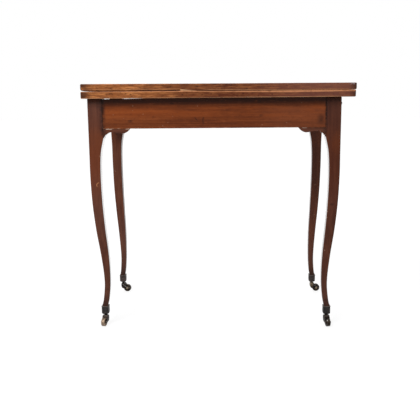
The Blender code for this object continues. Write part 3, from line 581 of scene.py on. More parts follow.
def upperMarks(fin, colour, x, y, rise, front, ragged):
    # painted shadow along the joint, with a thin painted highlight over it; rise is the height
    # above the joint
    sunk = x.graph((-0.06, 0), (-0.02, 0.0016), (0.39, 0.0016))
    lip = (rise + sunk).between(0.0034, 0.0022) * front
    dark = x.graph((-0.38, 0.6), (-0.3, 0.85), (-0.11, 0.95), (-0.104, 0), (-0.074, 0),
            (-0.068, 0.7), (0.08, 0.7), (0.15, 0), (0.3, 0), (0.38, 0.3))
    rubbed = x.graph((-0.36, 0.3), (-0.3, 0.55), (-0.115, 0.55), (-0.105, 0), (-0.06, 0),
            (-0.02, 0.75), (0.3, 0.8), (0.37, 0.25))
    below = x.graph((-0.06, 0), (-0.02, 0.002), (0.08, 0.0032), (0.19, 0.0046), (0.39, 0.004))
    above = (rise + below).near(0.0052, 0.0018) * front
    # a lipping lost in a long wedge, down to pale wood, and a whitish scuffed spot at the right end
    # with a painted glint
    wedge = (rise + (x + 0.106) * 0.075).between(0.0044, 0.0036) * front
    wedge = wedge * x.between(-0.1068, -0.1058) * x.between(-0.055, -0.065)
    scuffAndGlint = x.near(0.38, 0.013) * rise.between(0.012, 0.016) * y.between(-0.196, -0.214)
    scuffAndGlint = scuffAndGlint * fin.speckle((260, 260, 420), 0.48, 0.6)
    return fin.marked(colour, (lip * dark * ragged, (46, 17, 6)),
            (above * rubbed * ragged, (200, 140, 96)), (wedge * 0.95, (226, 178, 134)),
            (scuffAndGlint * 0.8, (196, 190, 196)))


def lowerMarks(fin, colour, x, rise, front, ragged):
    # the pale arris under the joint, worn and catching a painted highlight, the painted shadow of
    # the gap over it and a painted highlight along the lower arris
    sunk = x.graph((-0.06, 0), (-0.02, 0.0012), (0.1, 0.0022), (0.19, 0.0036), (0.39, 0.0018))
    arris = (rise + sunk).between(-0.0036, -0.0022) * front
    pale = x.graph((-0.39, 0.35), (-0.3, 0.55), (-0.12, 0.7), (-0.106, 0.95), (-0.07, 0.95),
            (-0.05, 0.65), (0.15, 0.9), (0.39, 0.85))
    shift = x.graph((0, 0), (0.19, 0.001), (0.39, 0.0006))
    gap = (rise + shift).between(-0.0018, -0.001) * front
    shut = x.graph((-0.06, 0), (-0.02, 0.75), (0.12, 0.75), (0.2, 0.35), (0.39, 0.3))
    foot = rise.between(-0.0172, -0.0186) * front
    rubbed = x.graph((-0.39, 0.8), (-0.22, 0.6), (-0.1, 0.5), (0, 0.4), (0.12, 0.7), (0.3, 0.8),
            (0.39, 0.3))
    return fin.marked(colour, (arris * pale * ragged, (224, 152, 106)), (gap * shut, (60, 24, 10)),
            (foot * rubbed * ragged, (206, 150, 110)))


def bentLeaf(spot, low, high, upper):
    # a vertex of a leaf after years of use; the face at the joint and the back stay true
    free = min(1, max(0, (0.16 - spot.y) / 0.2))
    ripple = noise.noise(Vector((spot.x * 24, spot.y * 9, upper)))
    nick = noise.noise(Vector((spot.x * 130, spot.z * 90, 3.7)))
    if spot.y < low.y + 0.004:
        spot.y += topLook["ripple"] * (1 + ripple + nick)
    left, right = max(0, spot.x / low.x), max(0, spot.x / high.x)
    over = 1 - min(spot.x - low.x, high.x - spot.x) / topLook["endRound"]
    if over > 0:
        drop = topLook["endDrop"] * (1 - math.sqrt(max(0, 1 - min(over, 1) ** 2))) * free
        spot.z += drop if spot.z < (low.z + high.z) / 2 else -drop
    spot.x -= topLook["leftReach"] * left ** 8
    if not upper:
        spot.x -= topLook["endSlack"] * max(0, (spot.x - 0.3) / (high.x - 0.3)) * free
    elif spot.z < low.z + 0.006:
        run = max(0, 1 - (spot.x - low.x) / topLook["cornerRun"])
        spot.z += topLook["cornerRise"] * run ** 2.5 * free
    else:
        warp = topLook["leftLift"] * left - topLook["rightSink"] * right
        spot.z += (warp - topLook["ripple"] * (1 + ripple)) * free


def makeTop():
    for word in ("upper", "lower"):
        node = f"{word}_leaf"
        piece = makeLeaf(f"{word}Leaf", node)
        low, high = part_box(node)
        for vert in piece.data.vertices:
            bentLeaf(vert.co, low, high, word == "upper")
        brasses = [name for name in slotOf if name.startswith(f"hinge_{word}")]
        if word == "lower":
            brasses += ["hinge_upper_left", "hinge_upper_right"]
        cutTop(piece, node, brasses, f"baize_{word}")
        closed(piece, 40)
        finish = woodFinish(f"{word}LeafPolish", edgeLook, 0, topLook["grain"][word],
                partial(topEdgeMarks, word == "upper"), edgePolish)
        dressed(piece, node, finish, (node,))
    print("top made")


# the playing cloth

clothLook = {
    "colour": (52, 88, 58), "worn": (96, 118, 82), "deep": (34, 62, 42), "parts": (78, 34),
    "arris": 0.0003, "rub": 0.00012,
}


def clothFinish():
    fin = Finish("greenBaize")
    weave = fin.noise(900, 2, 0.7)
    nap = fin.noise((160, 240, 200), 4, 0.7, 0.6)
    patch = fin.noise((7, 9, 7), 4, 0.55, 0.4)
    colour = fin.ramp((patch * 0.55 + nap * 0.45).between(0.22, 0.86),
            [(0, paint(*clothLook["deep"])), (0.55, paint(*clothLook["colour"])),
            (1, paint(*clothLook["worn"]))])
    colour = fin.marked(colour, (weave.between(0.35, 0.7) * 0.35, clothLook["deep"]))
    return fin.close({"Base Color": colour, "Roughness": nap * 0.1 + 0.85, "Sheen Weight": 0.35,
            "Sheen Roughness": 0.5, "IOR": 1.3, "Normal": fin.bump(weave * 0.6 + nap * 0.6, 0.5)})


def makeCloth():
    finish = clothFinish()
    columns, rows = clothLook["parts"]
    for word, side in (("lower", 1), ("upper", -1)):
        node = f"baize_{word}"
        low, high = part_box(node)
        width, length = high.x - low.x, high.y - low.y
        middle = (low + high) / 2
        allOff()
        bpy.ops.mesh.primitive_grid_add(x_subdivisions=columns, y_subdivisions=rows, size=1,
                location=middle)
        piece = called(bpy.context.object, f"{word}Baize")
        piece.scale = (width, length, 1)
        settle(piece)
        useModifier(piece, "SOLIDIFY", thickness=high.z - low.z, offset=0)
        soften(piece, clothLook["arris"], 2)
        for vert in piece.data.vertices:
            if (vert.co.z - middle.z) * side > 0:
                rub = noise.noise(Vector((vert.co.x * 14, vert.co.y * 14, side)))
                vert.co.z -= side * clothLook["rub"] * (1 + rub)
        closed(piece, 60)
        dressed(piece, node, finish, (node,))
    print("cloth laid")


# the legs

legForm = {
    "stile": 0.043, "sweep": 0.023, "sweepDepth": 0.0368, "cupTop": 0.062, "footEnd": 0.0426,
    "curveTop": 0.5809, "curveEnd": 0.012, "arris": 0.0017, "rings": 58, "waver": 0.00018,
    "wearRings": (0.0012, 0.002),
    # share of the height, share of the sweep, share of the stile's width
    "stations": ((0, 0.67, 0.405), (0.04, 0.85, 0.408), (0.14, 1.01, 0.42), (0.3, 0.77, 0.54),
        (0.46, 0.38, 0.64), (0.62, 0.11, 0.695), (0.78, 0, 0.715), (0.91, 0, 0.78), (1, 0, 1)),
}


def smoothRead(stations, share, column):
    last = len(stations) - 1
    k = 0
    while k < last - 1 and share > stations[k + 1][0]:
        k += 1
    before, a = stations[max(k - 1, 0)], stations[k]
    b, after = stations[k + 1], stations[min(k + 2, last)]
    span = b[0] - a[0]
    s = (share - a[0]) / span
    slopeA = (b[column] - before[column]) / (b[0] - before[0]) * span
    slopeB = (after[column] - a[column]) / (after[0] - a[0]) * span
    ease = s * s * (3 - 2 * s)
    lean = slopeA * s * (1 - s) * (1 - s) + slopeB * s * s * (s - 1)
    return a[column] * (1 - ease) + b[column] * ease + lean


def legRing(z):
    share = min(max((z - legForm["cupTop"]) / (legForm["curveTop"] - legForm["cupTop"]), 0), 1)
    sweep = smoothRead(legForm["stations"], share, 1)
    width = legForm["stile"] * smoothRead(legForm["stations"], share, 2)
    out = width / 2
    return Vector((legForm["sweep"] * sweep + out, legForm["sweepDepth"] * sweep + out, z)), width


def legMarks(side, face, fin, colour):
    # side and face are -1 or 1, at the left or right and at the front or back
    x, y, z = fin.axes()
    left, front = side < 0, face < 0
    # the stile is duller than the knee, with a painted sheen on the left legs and painted shade on
    # the right
    knee = z.near(0.565, 0.06) * fin.speckle((30, 30, 12), 0.36, 0.6)
    stileSheenAndShade = (92, 56, 46) if left else (70, 38, 31)
    colour = fin.marked(colour, (z.between(0.585, 0.625) * 0.35, stileSheenAndShade),
            (knee * (0.25 if left else 0.45), (142, 74, 38)))
    if front:
        # painted light at mid height on the front legs, lighter on the left and darker on the right
        warm = z.near(0.5, 0.17) * 0.4
        colour = fin.marked(colour, (warm, (134, 64, 28) if left else (104, 44, 16)))
    # painted light and shade for each leg: paler about a third of the way up on the front left,
    # darker higher up on the front right, paler low on the back left and paler all over on the back
    # right
    if front and left:
        legLightAndShade = (z.near(0.36, 0.16) * 0.25, (138, 94, 78))
    elif front:
        legLightAndShade = (z.between(0.34, 0.5) * 0.22 + 0.08, (58, 24, 12))
    elif left:
        legLightAndShade = (z.between(0.34, 0.2) * 0.2, (132, 96, 86))
    else:
        legLightAndShade = (0.22, (132, 82, 62))
    colour = fin.marked(colour, legLightAndShade)
    if front:
        # dirt along the joint with the rail
        low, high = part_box("front_rail")
        seam = low.x + 0.0202 if left else high.x - 0.0202
        ragged = fin.speckle(50, 0.34, 0.56) * 0.6 + 0.4
        dirt = x.near(seam, 0.015 if left else 0.008) * z.between(0.592, 0.606)
        foot = x.near(seam - 0.002, 0.009) * z.near(0.594, 0.016)
        colour = fin.marked(colour, (dirt * ragged * 0.9, (38, 20, 19)),
                (foot * ragged * 0.7, (44, 26, 24)))
    if front and left:
        # one curved scratch down to the pale wood
        away = fin.distance(x + 0.352, z - 0.4425)
        scratch = away.near(0.007, 0.002) * x.between(-0.3512, -0.353)
        scratch = scratch * z.between(0.4365, 0.44) * y.between(-0.188, -0.193)
        colour = fin.marked(colour, (scratch * 0.75, (226, 156, 106)))
    # the ankles turn paler and greyer low down, and dark just above the sockets
    return fin.marked(colour, (z.between(0.24, 0.1) * 0.3, (78, 56, 48)),
            (z.between(0.1, 0.064) * 0.6, (40, 25, 23)))


def makeLegs():
    form = legForm
    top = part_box("leg_front_left")[1].z
    run = form["curveTop"] - form["cupTop"]
    heights = [form["footEnd"]]
    heights += [form["cupTop"] + run * k / form["rings"] for k in range(form["rings"] + 1)]
    heights += [form["curveTop"] + form["curveEnd"], top]
    piece = stackUp("legPattern", [legRing(z) for z in heights])
    soften(piece, form["arris"], 3, 60)
    faceOut(piece)
    ringFlats(piece, lambda face: upright(face) and abs(face.normal.z) < 0.9, form["wearRings"])
    for side, word in ((-1, "left"), (1, "right")):
        for face, row in ((-1, "front"), (1, "back")):
            node = f"leg_{row}_{word}"
            low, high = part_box(node)
            corner = Vector((low.x if side < 0 else high.x, low.y if face < 0 else high.y, 0))
            leg = copyOf(piece, plainName(node), Matrix.Translation(corner)
                    @ Matrix.Diagonal((-side, -face, 1, 1)))
            for vert in leg.data.vertices:
                if vert.co.z > top - 0.004:
                    vert.co.z += high.z - top
            wavering(leg, form["waver"], 14)
            smoothBy(leg, 40)
            shift = 1.3 + side * 2.2 + face * 4.1
            finish = woodFinish(f"legPolish{titled(f'{row}_{word}')}", legLook, 2, shift,
                    partial(legMarks, side, face), legPolish[row, word])
            dressed(leg, node, finish, (node,))
    discard(piece)
    print("legs made")


# the shaped brackets under the rails

earForm = {
    "length": 0.0785, "thickness": 0.0195, "endRun": 0.0225, "endBow": 0.003, "lobeDepth": 0.014,
    "cuspDepth": 0.0095, "cuspRun": 0.023, "coveBow": 0.0036, "toeDepth": 0.0265,
    "toeWidth": 0.0012, "arris": 0.0007, "steps": 16,
}


def bowed(start, end, bow):
    # points along an arc from start to end, bulging by bow to one side of the chord
    start, end = Vector(start), Vector(end)
    chord = end - start
    left = Vector((-chord.y, chord.x)).normalized()
    half = chord.length / 2
    radius = (half * half + bow * bow) / (2 * abs(bow))
    centre = (start + end) / 2 + left * math.copysign(radius - abs(bow), -bow)
    spread = math.copysign(2 * math.asin(half / radius), -bow)
    steps = earForm["steps"]
    return [tuple(centre + Matrix.Rotation(spread * k / steps, 2) @ (start - centre))
            for k in range(steps + 1)]


def earMarks(fin, colour):
    x, y, z = fin.axes()
    low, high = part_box("ear_front_left")
    # glue and dirt along the joint with the rail, a few pale slits on it painted as light showing
    # through, and painted shade at the root by the leg
    seam = z.between(high.z - 0.002, high.z - 0.0008)
    front = y.between(low.y + 0.004, low.y + 0.002)
    chipsAndLitSlits = x.graph((-0.3275, 0), (-0.3255, 1), (-0.3085, 1), (-0.3065, 0), (-0.27, 0), (-0.267, 1),
            (-0.2545, 1), (-0.2525, 0), (0.24, 0), (0.2435, 0.5), (0.2525, 0.5), (0.256, 0))
    ragged = fin.speckle(240, 0.34, 0.48, detail=2, roughness=0.5)
    root = fin.most(x.between(low.x + 0.014, low.x + 0.003), x.between(0.2965, 0.3075))
    return fin.marked(colour, (seam * 0.55, (62, 32, 22)),
            (seam * chipsAndLitSlits * ragged * front, (236, 208, 190)), (root * front * 0.55, (46, 26, 22)))


def makeEars():
    form = earForm
    outline = [(0, 0)] + bowed((form["length"], 0),
            (form["length"] - form["endRun"], -form["lobeDepth"]), form["endBow"])
    outline += bowed((form["cuspRun"], -form["cuspDepth"]), (form["toeWidth"], -form["toeDepth"]),
            -form["coveBow"])
    outline.append((0, -form["toeDepth"]))
    piece = outlinePlate("earPattern", outline, form["thickness"], form["arris"])
    piece.data.transform(turnBy(90, "X"))
    for node in sorted(name for name in slotOf if name.startswith("ear_")):
        low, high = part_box(node)
        middle = (low + high) / 2
        # an ear lies along x or y, and grows from the leg at one of its ends
        onX = high.x - low.x > high.y - low.y
        way = 1 if node.endswith("left" if onX else "front") else -1
        root = low if way > 0 else high
        start = (root.x, middle.y, high.z) if onX else (middle.x, root.y, high.z)
        turn = turnBy(0 if onX else 90, "Z")
        place = Matrix.Translation(start) @ turn @ Matrix.Diagonal((way, 1, 1, 1))
        name = plainName(node)
        ear = copyOf(piece, name, place)
        smoothBy(ear, 40)
        finish = woodFinish(f"{name}Polish", earLook, 0 if onX else 1, 3.3 + len(node) + way,
                earMarks, polish)
        dressed(ear, node, finish, (node,))
    discard(piece)
    print("brackets made")


# rails, fly rails and blocks are merged copies of their nodes with softened arrises

def railMarks(fin, colour):
    x, _, z = fin.axes()
    low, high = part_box("front_rail")
    left, right = low.x + 0.0202, high.x - 0.0202
    # painted shadow under the overhang, deeper at the right, a warmer middle stretch and painted
    # glints along the grain
    overhangShadow = z.between(high.z - 0.026, high.z - 0.006)
    shade = x.graph((-0.28, 0), (-0.12, 0.2), (0.06, 0.24), (0.18, 0.42), (0.36, 0.42))
    shade = shade * z.between(high.z - 0.034, high.z - 0.014)
    rosy = x.between(0.08, 0.2) * z.between(high.z - 0.016, high.z - 0.034)
    warm = z.near(low.z + 0.05, 0.026) * fin.speckle((6, 6, 30), 0.34, 0.6)
    grime = fin.speckle((55, 55, 110), 0.5, 0.72, (4, 4, 4), 6, 0.75)
    glint = fin.speckle((40, 40, 240), 0.54, 0.74, (9, 1, 4), 5, 0.7)
    # dirt in the joints with the stiles, and three scratches
    ragged = fin.speckle(50, 0.34, 0.56) * 0.6 + 0.4
    dirt = fin.most(x.near(left, 0.012), x.near(right, 0.006))
    smudge = x.near(right - 0.014, 0.017) * z.near(low.z + 0.024, 0.024)
    worst = fin.most(dirt * ragged, smudge * 0.7)
    for slope, spot, wide, middle, reach in railForm["scratches"]:
        scratch = (x + z * slope).near(spot, wide) * z.near(middle, reach)
        worst = fin.most(worst, scratch)
    foot = z.between(low.z + 0.0022, low.z + 0.0008)
    chipsAndLitSlits = fin.speckle(30, 0.5, 0.62, (1, 7, 2))
    # among the marks, a painted shade darkens the apron towards its lower edge
    return fin.marked(colour, (overhangShadow * 0.8, (50, 24, 15)), (rosy * 0.35, (158, 88, 56)),
            (warm * 0.58, (166, 82, 36)), (shade, (50, 24, 15)),
            (z.between(low.z + 0.036, low.z + 0.006) * 0.22, (62, 28, 16)),
            (grime * 0.42, (66, 31, 20)), (glint * 0.4, (176, 98, 58)),
            (worst * 0.9, (40, 22, 17)), (foot * chipsAndLitSlits * 0.7, (206, 160, 130)))


railForm = {
    "rings": (0.001, 0.0016), "leastFlat": 0.0008,
    # a scratch lies along x + slope * z = spot, as (slope, spot, half width, middle z, reach in z)
    "scratches": ((0.76, 0.418, 0.0028, 0.634, 0.008), (0.065, -0.003, 0.0022, 0.6275, 0.016),
        (-0.375, -0.2806, 0.002, 0.635, 0.007)),
    # arris, look, polish, then each node's grain axis and shift of pattern
    "groups": (
        (0.0009, mahoganyLook, polish, {"front_rail": (0, 8.1), "side_rail_left": (1, 5.2),
            "side_rail_right": (1, 7.7)}),
        (0.0006, insideLook, None, {"inner_back_rail": (0, 2.6), "fixed_fly_rail": (0, 4.4),
            "gate_rail_left": (0, 6.9), "gate_rail_right": (0, 9.3)}),
        (0.0004, insideLook, None, {"glue_block_left": (0, 3.8), "glue_block_right": (0, 5.6),
            "corner_block_left": (2, 1.9), "corner_block_right": (2, 8.8)}),
    ),
}


def makeRail(node, arris, look, gloss, axis, shift):
    name = plainName(node)
    piece = copyOf(frame["nodes"][node], name)
    piece.parent = None
    piece.matrix_world = Matrix.Identity(4)
    faceOut(piece)
    editAll(piece)
    bpy.ops.mesh.dissolve_limited(angle_limit=math.radians(1))
    doneEditing()
    soften(piece, arris, 2, 50)
    ringFlats(piece, lambda face: face.calc_area() > railForm["leastFlat"], railForm["rings"], True)
    smoothBy(piece, 35)
    marks = railMarks if node == "front_rail" else None
    dressed(piece, node, woodFinish(f"{name}Finish", look, axis, shift, marks, gloss), (node,))


def makeRails():
    for arris, look, gloss, nodes in railForm["groups"]:
        for node, (axis, shift) in nodes.items():
            makeRail(node, arris, look, gloss, axis, shift)
    print("rails made")


# metal

def metalFinish(name, look, marks=None, others=()):
    # marks gives one mask for each of the other metals, where that metal shows
    fin = Finish(name)
    patch = fin.noise(look["patch"], 4, 0.6, 0.3)
    fine = fin.noise(900, 3, 0.6)

    def skin(metal):
        colour = fin.ramp(patch.between(0.34, 0.66),
                [(0, paint(*metal["dark"])), (1, paint(*metal["light"]))])
        return fin.marked(colour, (fin.edges(0.525, 0.6) * metal["rub"], metal["rubbed"]))

    colour, metallic = skin(look), look["metal"]
    for where, other in zip(marks(fin) if marks else (), others):
        share = where * fin.speckle(500, 0.26, 0.42)
        colour = fin.mix(share, colour, skin(other))
        metallic = share * (other["metal"] - metallic) + metallic
    pits = fin.speckle(420, 0.64, 0.72, detail=2, roughness=0.5)
    colour = fin.marked(colour, (pits * 0.5, look["dark"]))
    rough = patch * 0.2 + fine * 0.1 + (look["rough"] - 0.15)
    return fin.close({"Base Color": colour, "Metallic": metallic, "Roughness": rough,
            "Normal": fin.bump(fine * 0.5 - pits * 0.6 + patch * 0.3, 0.25, 0.0002)})


def inFrameOf(fin, matrix):
    # the axes of a turned castor, read from the object's own coordinates
    back = matrix.inverted()
    return fin.axes(Location=back.translation, Rotation=back.to_euler())


metalKeys = ("dark", "light", "rubbed", "rub", "patch", "rough", "metal")
metalRows = {
    # three colours, how much is rubbed, fineness of the pattern, roughness, metallic share
    "brass": ((104, 78, 44), (184, 148, 88), (222, 192, 132), 0.5, 90, 0.36, 1),
    "wheel_brass": ((100, 80, 64), (176, 151, 127), (206, 190, 172), 0.6, 160, 0.46, 0.6),
    "old_brass": ((66, 54, 40), (116, 97, 73), (168, 150, 122), 0.7, 160, 0.44, 0.7),
    "gunmetal": ((34, 30, 30), (62, 56, 54), (108, 99, 93), 0.6, 110, 0.44, 0.6),
    "dark_fork": ((14, 10, 9), (46, 38, 34), (104, 93, 84), 0.45, 160, 0.46, 0.9),
    "bare_metal": ((196, 190, 184), (250, 248, 244), (255, 254, 252), 0.5, 90, 0.3, 0.3),
    "iron": ((48, 42, 40), (92, 84, 80), (140, 130, 122), 0.4, 140, 0.5, 0.85),
}
metalLooks = {name: dict(zip(metalKeys, row)) for name, row in metalRows.items()}
metals = {}


def metalOf(slot):
    if slot not in metals:
        metals[slot] = metalFinish(f"{plainName(slot)}Finish", metalLooks[slot])
    return metals[slot]


def dressMetalNodes():
    for node, slot in slotOf.items():
        piece = frame["nodes"][node]
        if slot in metalLooks and not piece.hide_render:
            painted(piece, metalOf(slot))


# the castors

castorForm = {
    "cupHigh": 0.026, "cupTop": 0.062, "cupHalf": 0.01101, "wall": 0.002, "cupFloor": 0.0045,
    "toe": 0.005, "corner": 0.003, "lip": 0.0005, "lipHigh": 0.0024, "cupGap": 0.0003,
    "cupRings": (0.0006, 0.0009),
    "wheelRadius": 0.013, "wheelWidth": 0.0105, "bore": 0.0023, "crown": 0.00035,
    "wheelArris": 0.0008,
    # rings inward from the wheel's rim, as (width, rise)
    "wheelDish": ((0.003, 0), (0.0009, -0.0016), (0.0036, 0), (0.0006, 0.0014)),
    "trail": 0.0155, "cheek": 0.0025, "wheelSpace": 0.0008, "eye": 0.0052, "forkArris": 0.0009,
    "neck": 0.005, "neckHigh": 0.0042, "neckLong": 0.0076, "neckStart": 0.0034,
    "axle": 0.002, "axleOut": 0.0003, "axleHead": 0.0032, "headHigh": 0.001, "headSink": 0.0001,
    # the way that each fork points, in degrees
    "angles": {"front_left": 257, "front_right": 281, "back_left": 350, "back_right": 5},
}


def makeCup(name, centre):
    form = castorForm
    floor = form["cupTop"] - form["cupHigh"]
    half, toe = form["cupHalf"], form["toe"]
    rings = []
    for k in range(7):
        angle = k / 6 * math.pi / 2
        rings.append((floor + toe * (1 - math.cos(angle)), half - toe * (1 - math.sin(angle))))
    low, lip = form["cupTop"] - form["lipHigh"], form["lip"]
    rings += [(low - lip, half), (low, half + lip), (form["cupTop"] - lip, half + lip),
            (form["cupTop"], half)]
    piece = stackUp(name, [(Vector((centre.x, centre.y, z)), 2 * wide) for z, wide in rings])
    # the upright corners are rounded, then the socket is sunk in
    pick(piece, "EDGE", rises)
    bpy.ops.mesh.bevel(offset=form["corner"], segments=4)
    doneEditing()
    ringFlats(piece, lambda face: upright(face) and face.calc_area() > 0.0001, form["cupRings"],
            True)
    top = form["cupTop"] - 0.0001
    pick(piece, "FACE", lambda face: facesUp(face) and face.calc_center_median().z > top)
    bpy.ops.mesh.inset(thickness=form["wall"])
    depth = form["cupHigh"] - form["cupFloor"]
    bpy.ops.mesh.extrude_region_move(TRANSFORM_OT_translate={"value": (0, 0, -depth)})
    doneEditing()
    return closed(piece, 32)


def makeWheel():
    # a flat barrel wheel with dished sides and a raised hub, its axle along z
    form = castorForm
    half = form["wheelWidth"] / 2
    piece = addDisc("wheelPattern", form["wheelRadius"], form["wheelWidth"], 64, -half)
    for way in (1, -1):
        pick(piece, "FACE", lambda face: face.normal.z * way > 0.9)
        for width, rise in form["wheelDish"]:
            bpy.ops.mesh.inset(thickness=width)
            if rise:
                bpy.ops.transform.translate(value=(0, 0, way * rise))
    doneEditing()
    soften(piece, form["wheelArris"], 3, 25)
    carve(piece, addDisc("cutter", form["bore"], 4 * half, 32, -2 * half))
    # the tread is slightly crowned
    for vert in piece.data.vertices:
        away = math.hypot(vert.co.x, vert.co.y)
        if away > form["wheelRadius"] * 0.97:
            push = form["crown"] * (vert.co.z / half) ** 2
            vert.co.x -= vert.co.x / away * push
            vert.co.y -= vert.co.y / away * push
    return closed(piece, 35)


def arcPoints(centre, radius, start, end, steps):
    turns = [math.radians(start + (end - start) * k / steps) for k in range(steps + 1)]
    return [(centre[0] + radius * math.cos(turn), centre[1] + radius * math.sin(turn))
            for turn in turns]


def makeFork():
    # the fork's side view, cut out as a plate, with a turned neck and a slot for the wheel
    form = castorForm
    top = form["cupTop"] - form["cupHigh"] - form["cupGap"] - form["neckHigh"]
    radius, trail = form["wheelRadius"], form["trail"]
    width = form["wheelWidth"] + 2 * (form["wheelSpace"] + form["cheek"])
    outline = [(-0.0039, top), (-0.0056, top - 0.0034), (-0.0056, radius + 0.0073),
            (-0.0028, radius)]
    outline += arcPoints((trail, radius), form["eye"], 235, 420, 22)
    outline += [(0.0128, top - 0.01), (0.01, top - 0.005), (0.0084, top - 0.003), (0.0067, top)]
    piece = outlinePlate("forkPattern", outline, width, form["forkArris"])
    piece.data.transform(turnBy(90, "X"))
    carve(piece, addDisc("cutter", form["neck"], form["neckLong"], 40, top - form["neckStart"]),
            "UNION")
    room = form["wheelWidth"] + 2 * form["wheelSpace"]
    slot = addDisc("cutter", radius + form["wheelSpace"], room, 64, -room / 2)
    slot.data.transform(Matrix.Translation((trail, 0, radius)) @ turnBy(90, "X"))
    carve(piece, slot)
    return closed(piece, 35)


def makeAxle():
    form = castorForm
    end = form["wheelWidth"] / 2 + form["wheelSpace"] + form["cheek"] + form["axleOut"]
    piece = addDisc("axlePattern", form["axle"], 2 * end, 32, -end)
    for turn in (0, 180):
        head = addDisc("cutter", form["axleHead"], form["headHigh"], 32, end - form["headSink"])
        pick(head, "FACE", facesUp)
        bpy.ops.transform.resize(value=(0.7, 0.7, 1))
        doneEditing()
        head.data.transform(turnBy(turn, "X"))
        carve(piece, head, "UNION")
    return closed(piece, 35)


castorWear = {
    # the cup's dark and light, then how much old brass shows on the wheel's tread, disc and hub
    "front_left": ((32, 28, 27), (62, 57, 55), 1, 1, 1),
    "front_right": ((16, 13, 12), (38, 33, 31), 0.12, 0, 0.4),
    "back_left": ((40, 31, 29), (76, 62, 58), 0.1, 0.15, 1),
    "back_right": ((36, 28, 27), (66, 54, 51), 0, 0.1, 1),
}


def forkPatches(word, matrix, fin):
    # where brass and then bared metal with painted glints show on each fork, in the fork's own
    # axes; on the front left the brass keeps to one cheek and the other is left dark as painted
    # shade
    x, y, z = inFrameOf(fin, matrix)
    away = fin.distance(x - castorForm["trail"], z - castorForm["wheelRadius"])
    eye = away.between(0.004, 0.0032)
    if word == "front_left":
        return y.between(0.005, 0.002) * z.between(0.0262, 0.0245), eye * 0.2
    if word == "front_right":
        return eye * 0.4, z.near(0.0225, 0.001) * x.between(0.0105, 0.0115) * 0.12
    if word == "back_left":
        glintStripe = (z + x * 0.6).near(0.0262, 0.001) * x.between(-0.002, 0.001)
        return eye * 0.9, glintStripe * 0.7
    shoulder = z.between(0.0175, 0.0195) * x.between(0.0055, 0.003)
    return fin.most(eye, shoulder * 0.75), (z + x * 0.6).near(0.0272, 0.0008) * 0.25


def wheelPatches(word, matrix, fin):
    # where brass and then bared metal with painted glints show on each wheel; its axle is along z
    # and its y is upright
    x, y, z = inFrameOf(fin, matrix)
    tread, disc, hub = castorWear[word][2:]
    away = fin.distance(x, y)
    brass = fin.most(away.between(0.0062, 0.005) * hub, away.between(0.0112, 0.0122) * tread)
    brass = fin.most(brass, away.between(0.006, 0.0064) * disc)
    if word == "front_right":
        bareAndGlint = z.size().between(0.0034, 0.004) * y.near(0.0085, 0.0022)
        return brass, bareAndGlint * away.between(0.01, 0.0115)
    bareAndGlint = x.near(0.009, 0.0016) * y.near(0.0012, 0.0022) * away.between(0.0112, 0.0104)
    return brass, bareAndGlint * (0.9 if word == "back_left" else 0.2)


def makeCastors():
    form = castorForm
    wheel, fork, axle = makeWheel(), makeFork(), makeAxle()
    for word, angle in form["angles"].items():
        title, node = titled(word), f"castor_cup_{word}"
        low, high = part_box(node)
        centre = (low + high) / 2
        dark, light = castorWear[word][:2]
        finish = metalFinish(f"cupMetal{title}",
                dict(metalLooks["gunmetal"], dark=dark, light=light))
        dressed(makeCup(f"castorCup{title}", centre), node, finish, (node,))
        swivel = Matrix.Translation((centre.x, centre.y, 0)) @ turnBy(angle, "Z")
        hub = Matrix.Translation((form["trail"], 0, form["wheelRadius"]))
        spot = swivel @ hub @ turnBy(90, "X")
        brass = metalLooks["wheel_brass" if word == "front_left" else "old_brass"]
        for pattern, part, matrix, patches in ((fork, "horn", swivel, forkPatches),
                (wheel, "wheel", spot, wheelPatches)):
            node = f"castor_{part}_{word}"
            piece = copyOf(pattern, plainName(node), matrix)
            smoothBy(piece, 35)
            finish = metalFinish(f"{part}Metal{title}", metalLooks["dark_fork"],
                    partial(patches, word, matrix), (brass, metalLooks["bare_metal"]))
            dressed(piece, node, finish, (node,))
        node = f"castor_axle_{word}"
        rod = copyOf(axle, plainName(node), spot)
        smoothBy(rod, 35)
        dressed(rod, node, metalOf("old_brass" if word.startswith("back") else "iron"), (node,))
    for pattern in (wheel, fork, axle):
        discard(pattern)
    print("castors made")


# screws and pegs that the solids leave out

fixingForm = {
    "slotWide": 0.16, "slotDeep": 0.35,
    # radius and rise of each kind of screw head
    "hingeHead": (0.0021, 0.0006), "cupHead": (0.002, 0.0007), "flyHead": (0.0038, 0.001),
    "hingeRun": 0.058, "hingeShares": (0.12, 0.42, 0.7), "cupScrewHigh": 0.05,
    "flySpots": ((0.3, 0.625), (0.7, 0.625), (0.3, 0.668), (0.7, 0.668)),
    "peg": 0.0038, "pegLong": 0.012, "pegRise": 0.0004, "proudRise": 0.0034, "pegArris": 0.0005,
    "pegHeights": (0.6755, 0.627), "pegDepth": -0.185,
}


def makeScrewHead(radius, rise, slotTurn):
    # a slotted head on z = 0
    form = fixingForm
    piece = addDisc("screwPattern", radius, rise, 28)
    pick(piece, "FACE", facesUp)
    bpy.ops.mesh.inset(thickness=radius * 0.35)
    bpy.ops.transform.translate(value=(0, 0, rise * 0.35))
    doneEditing()
    soften(piece, rise * 0.15, 2, 30)
    long, wide = radius * 1.3, radius * form["slotWide"]
    carve(piece, addBlock("cutter", (-long, -wide, rise * (1 - form["slotDeep"])),
            (long, wide, rise * 3)))
    piece.data.transform(Matrix.Rotation(slotTurn, 4, "Z"))
    return faceOut(piece)


def aimed(direction, spot):
    turn = Vector((0, 0, 1)).rotation_difference(Vector(direction))
    return Matrix.Translation(spot) @ turn.to_matrix().to_4x4()


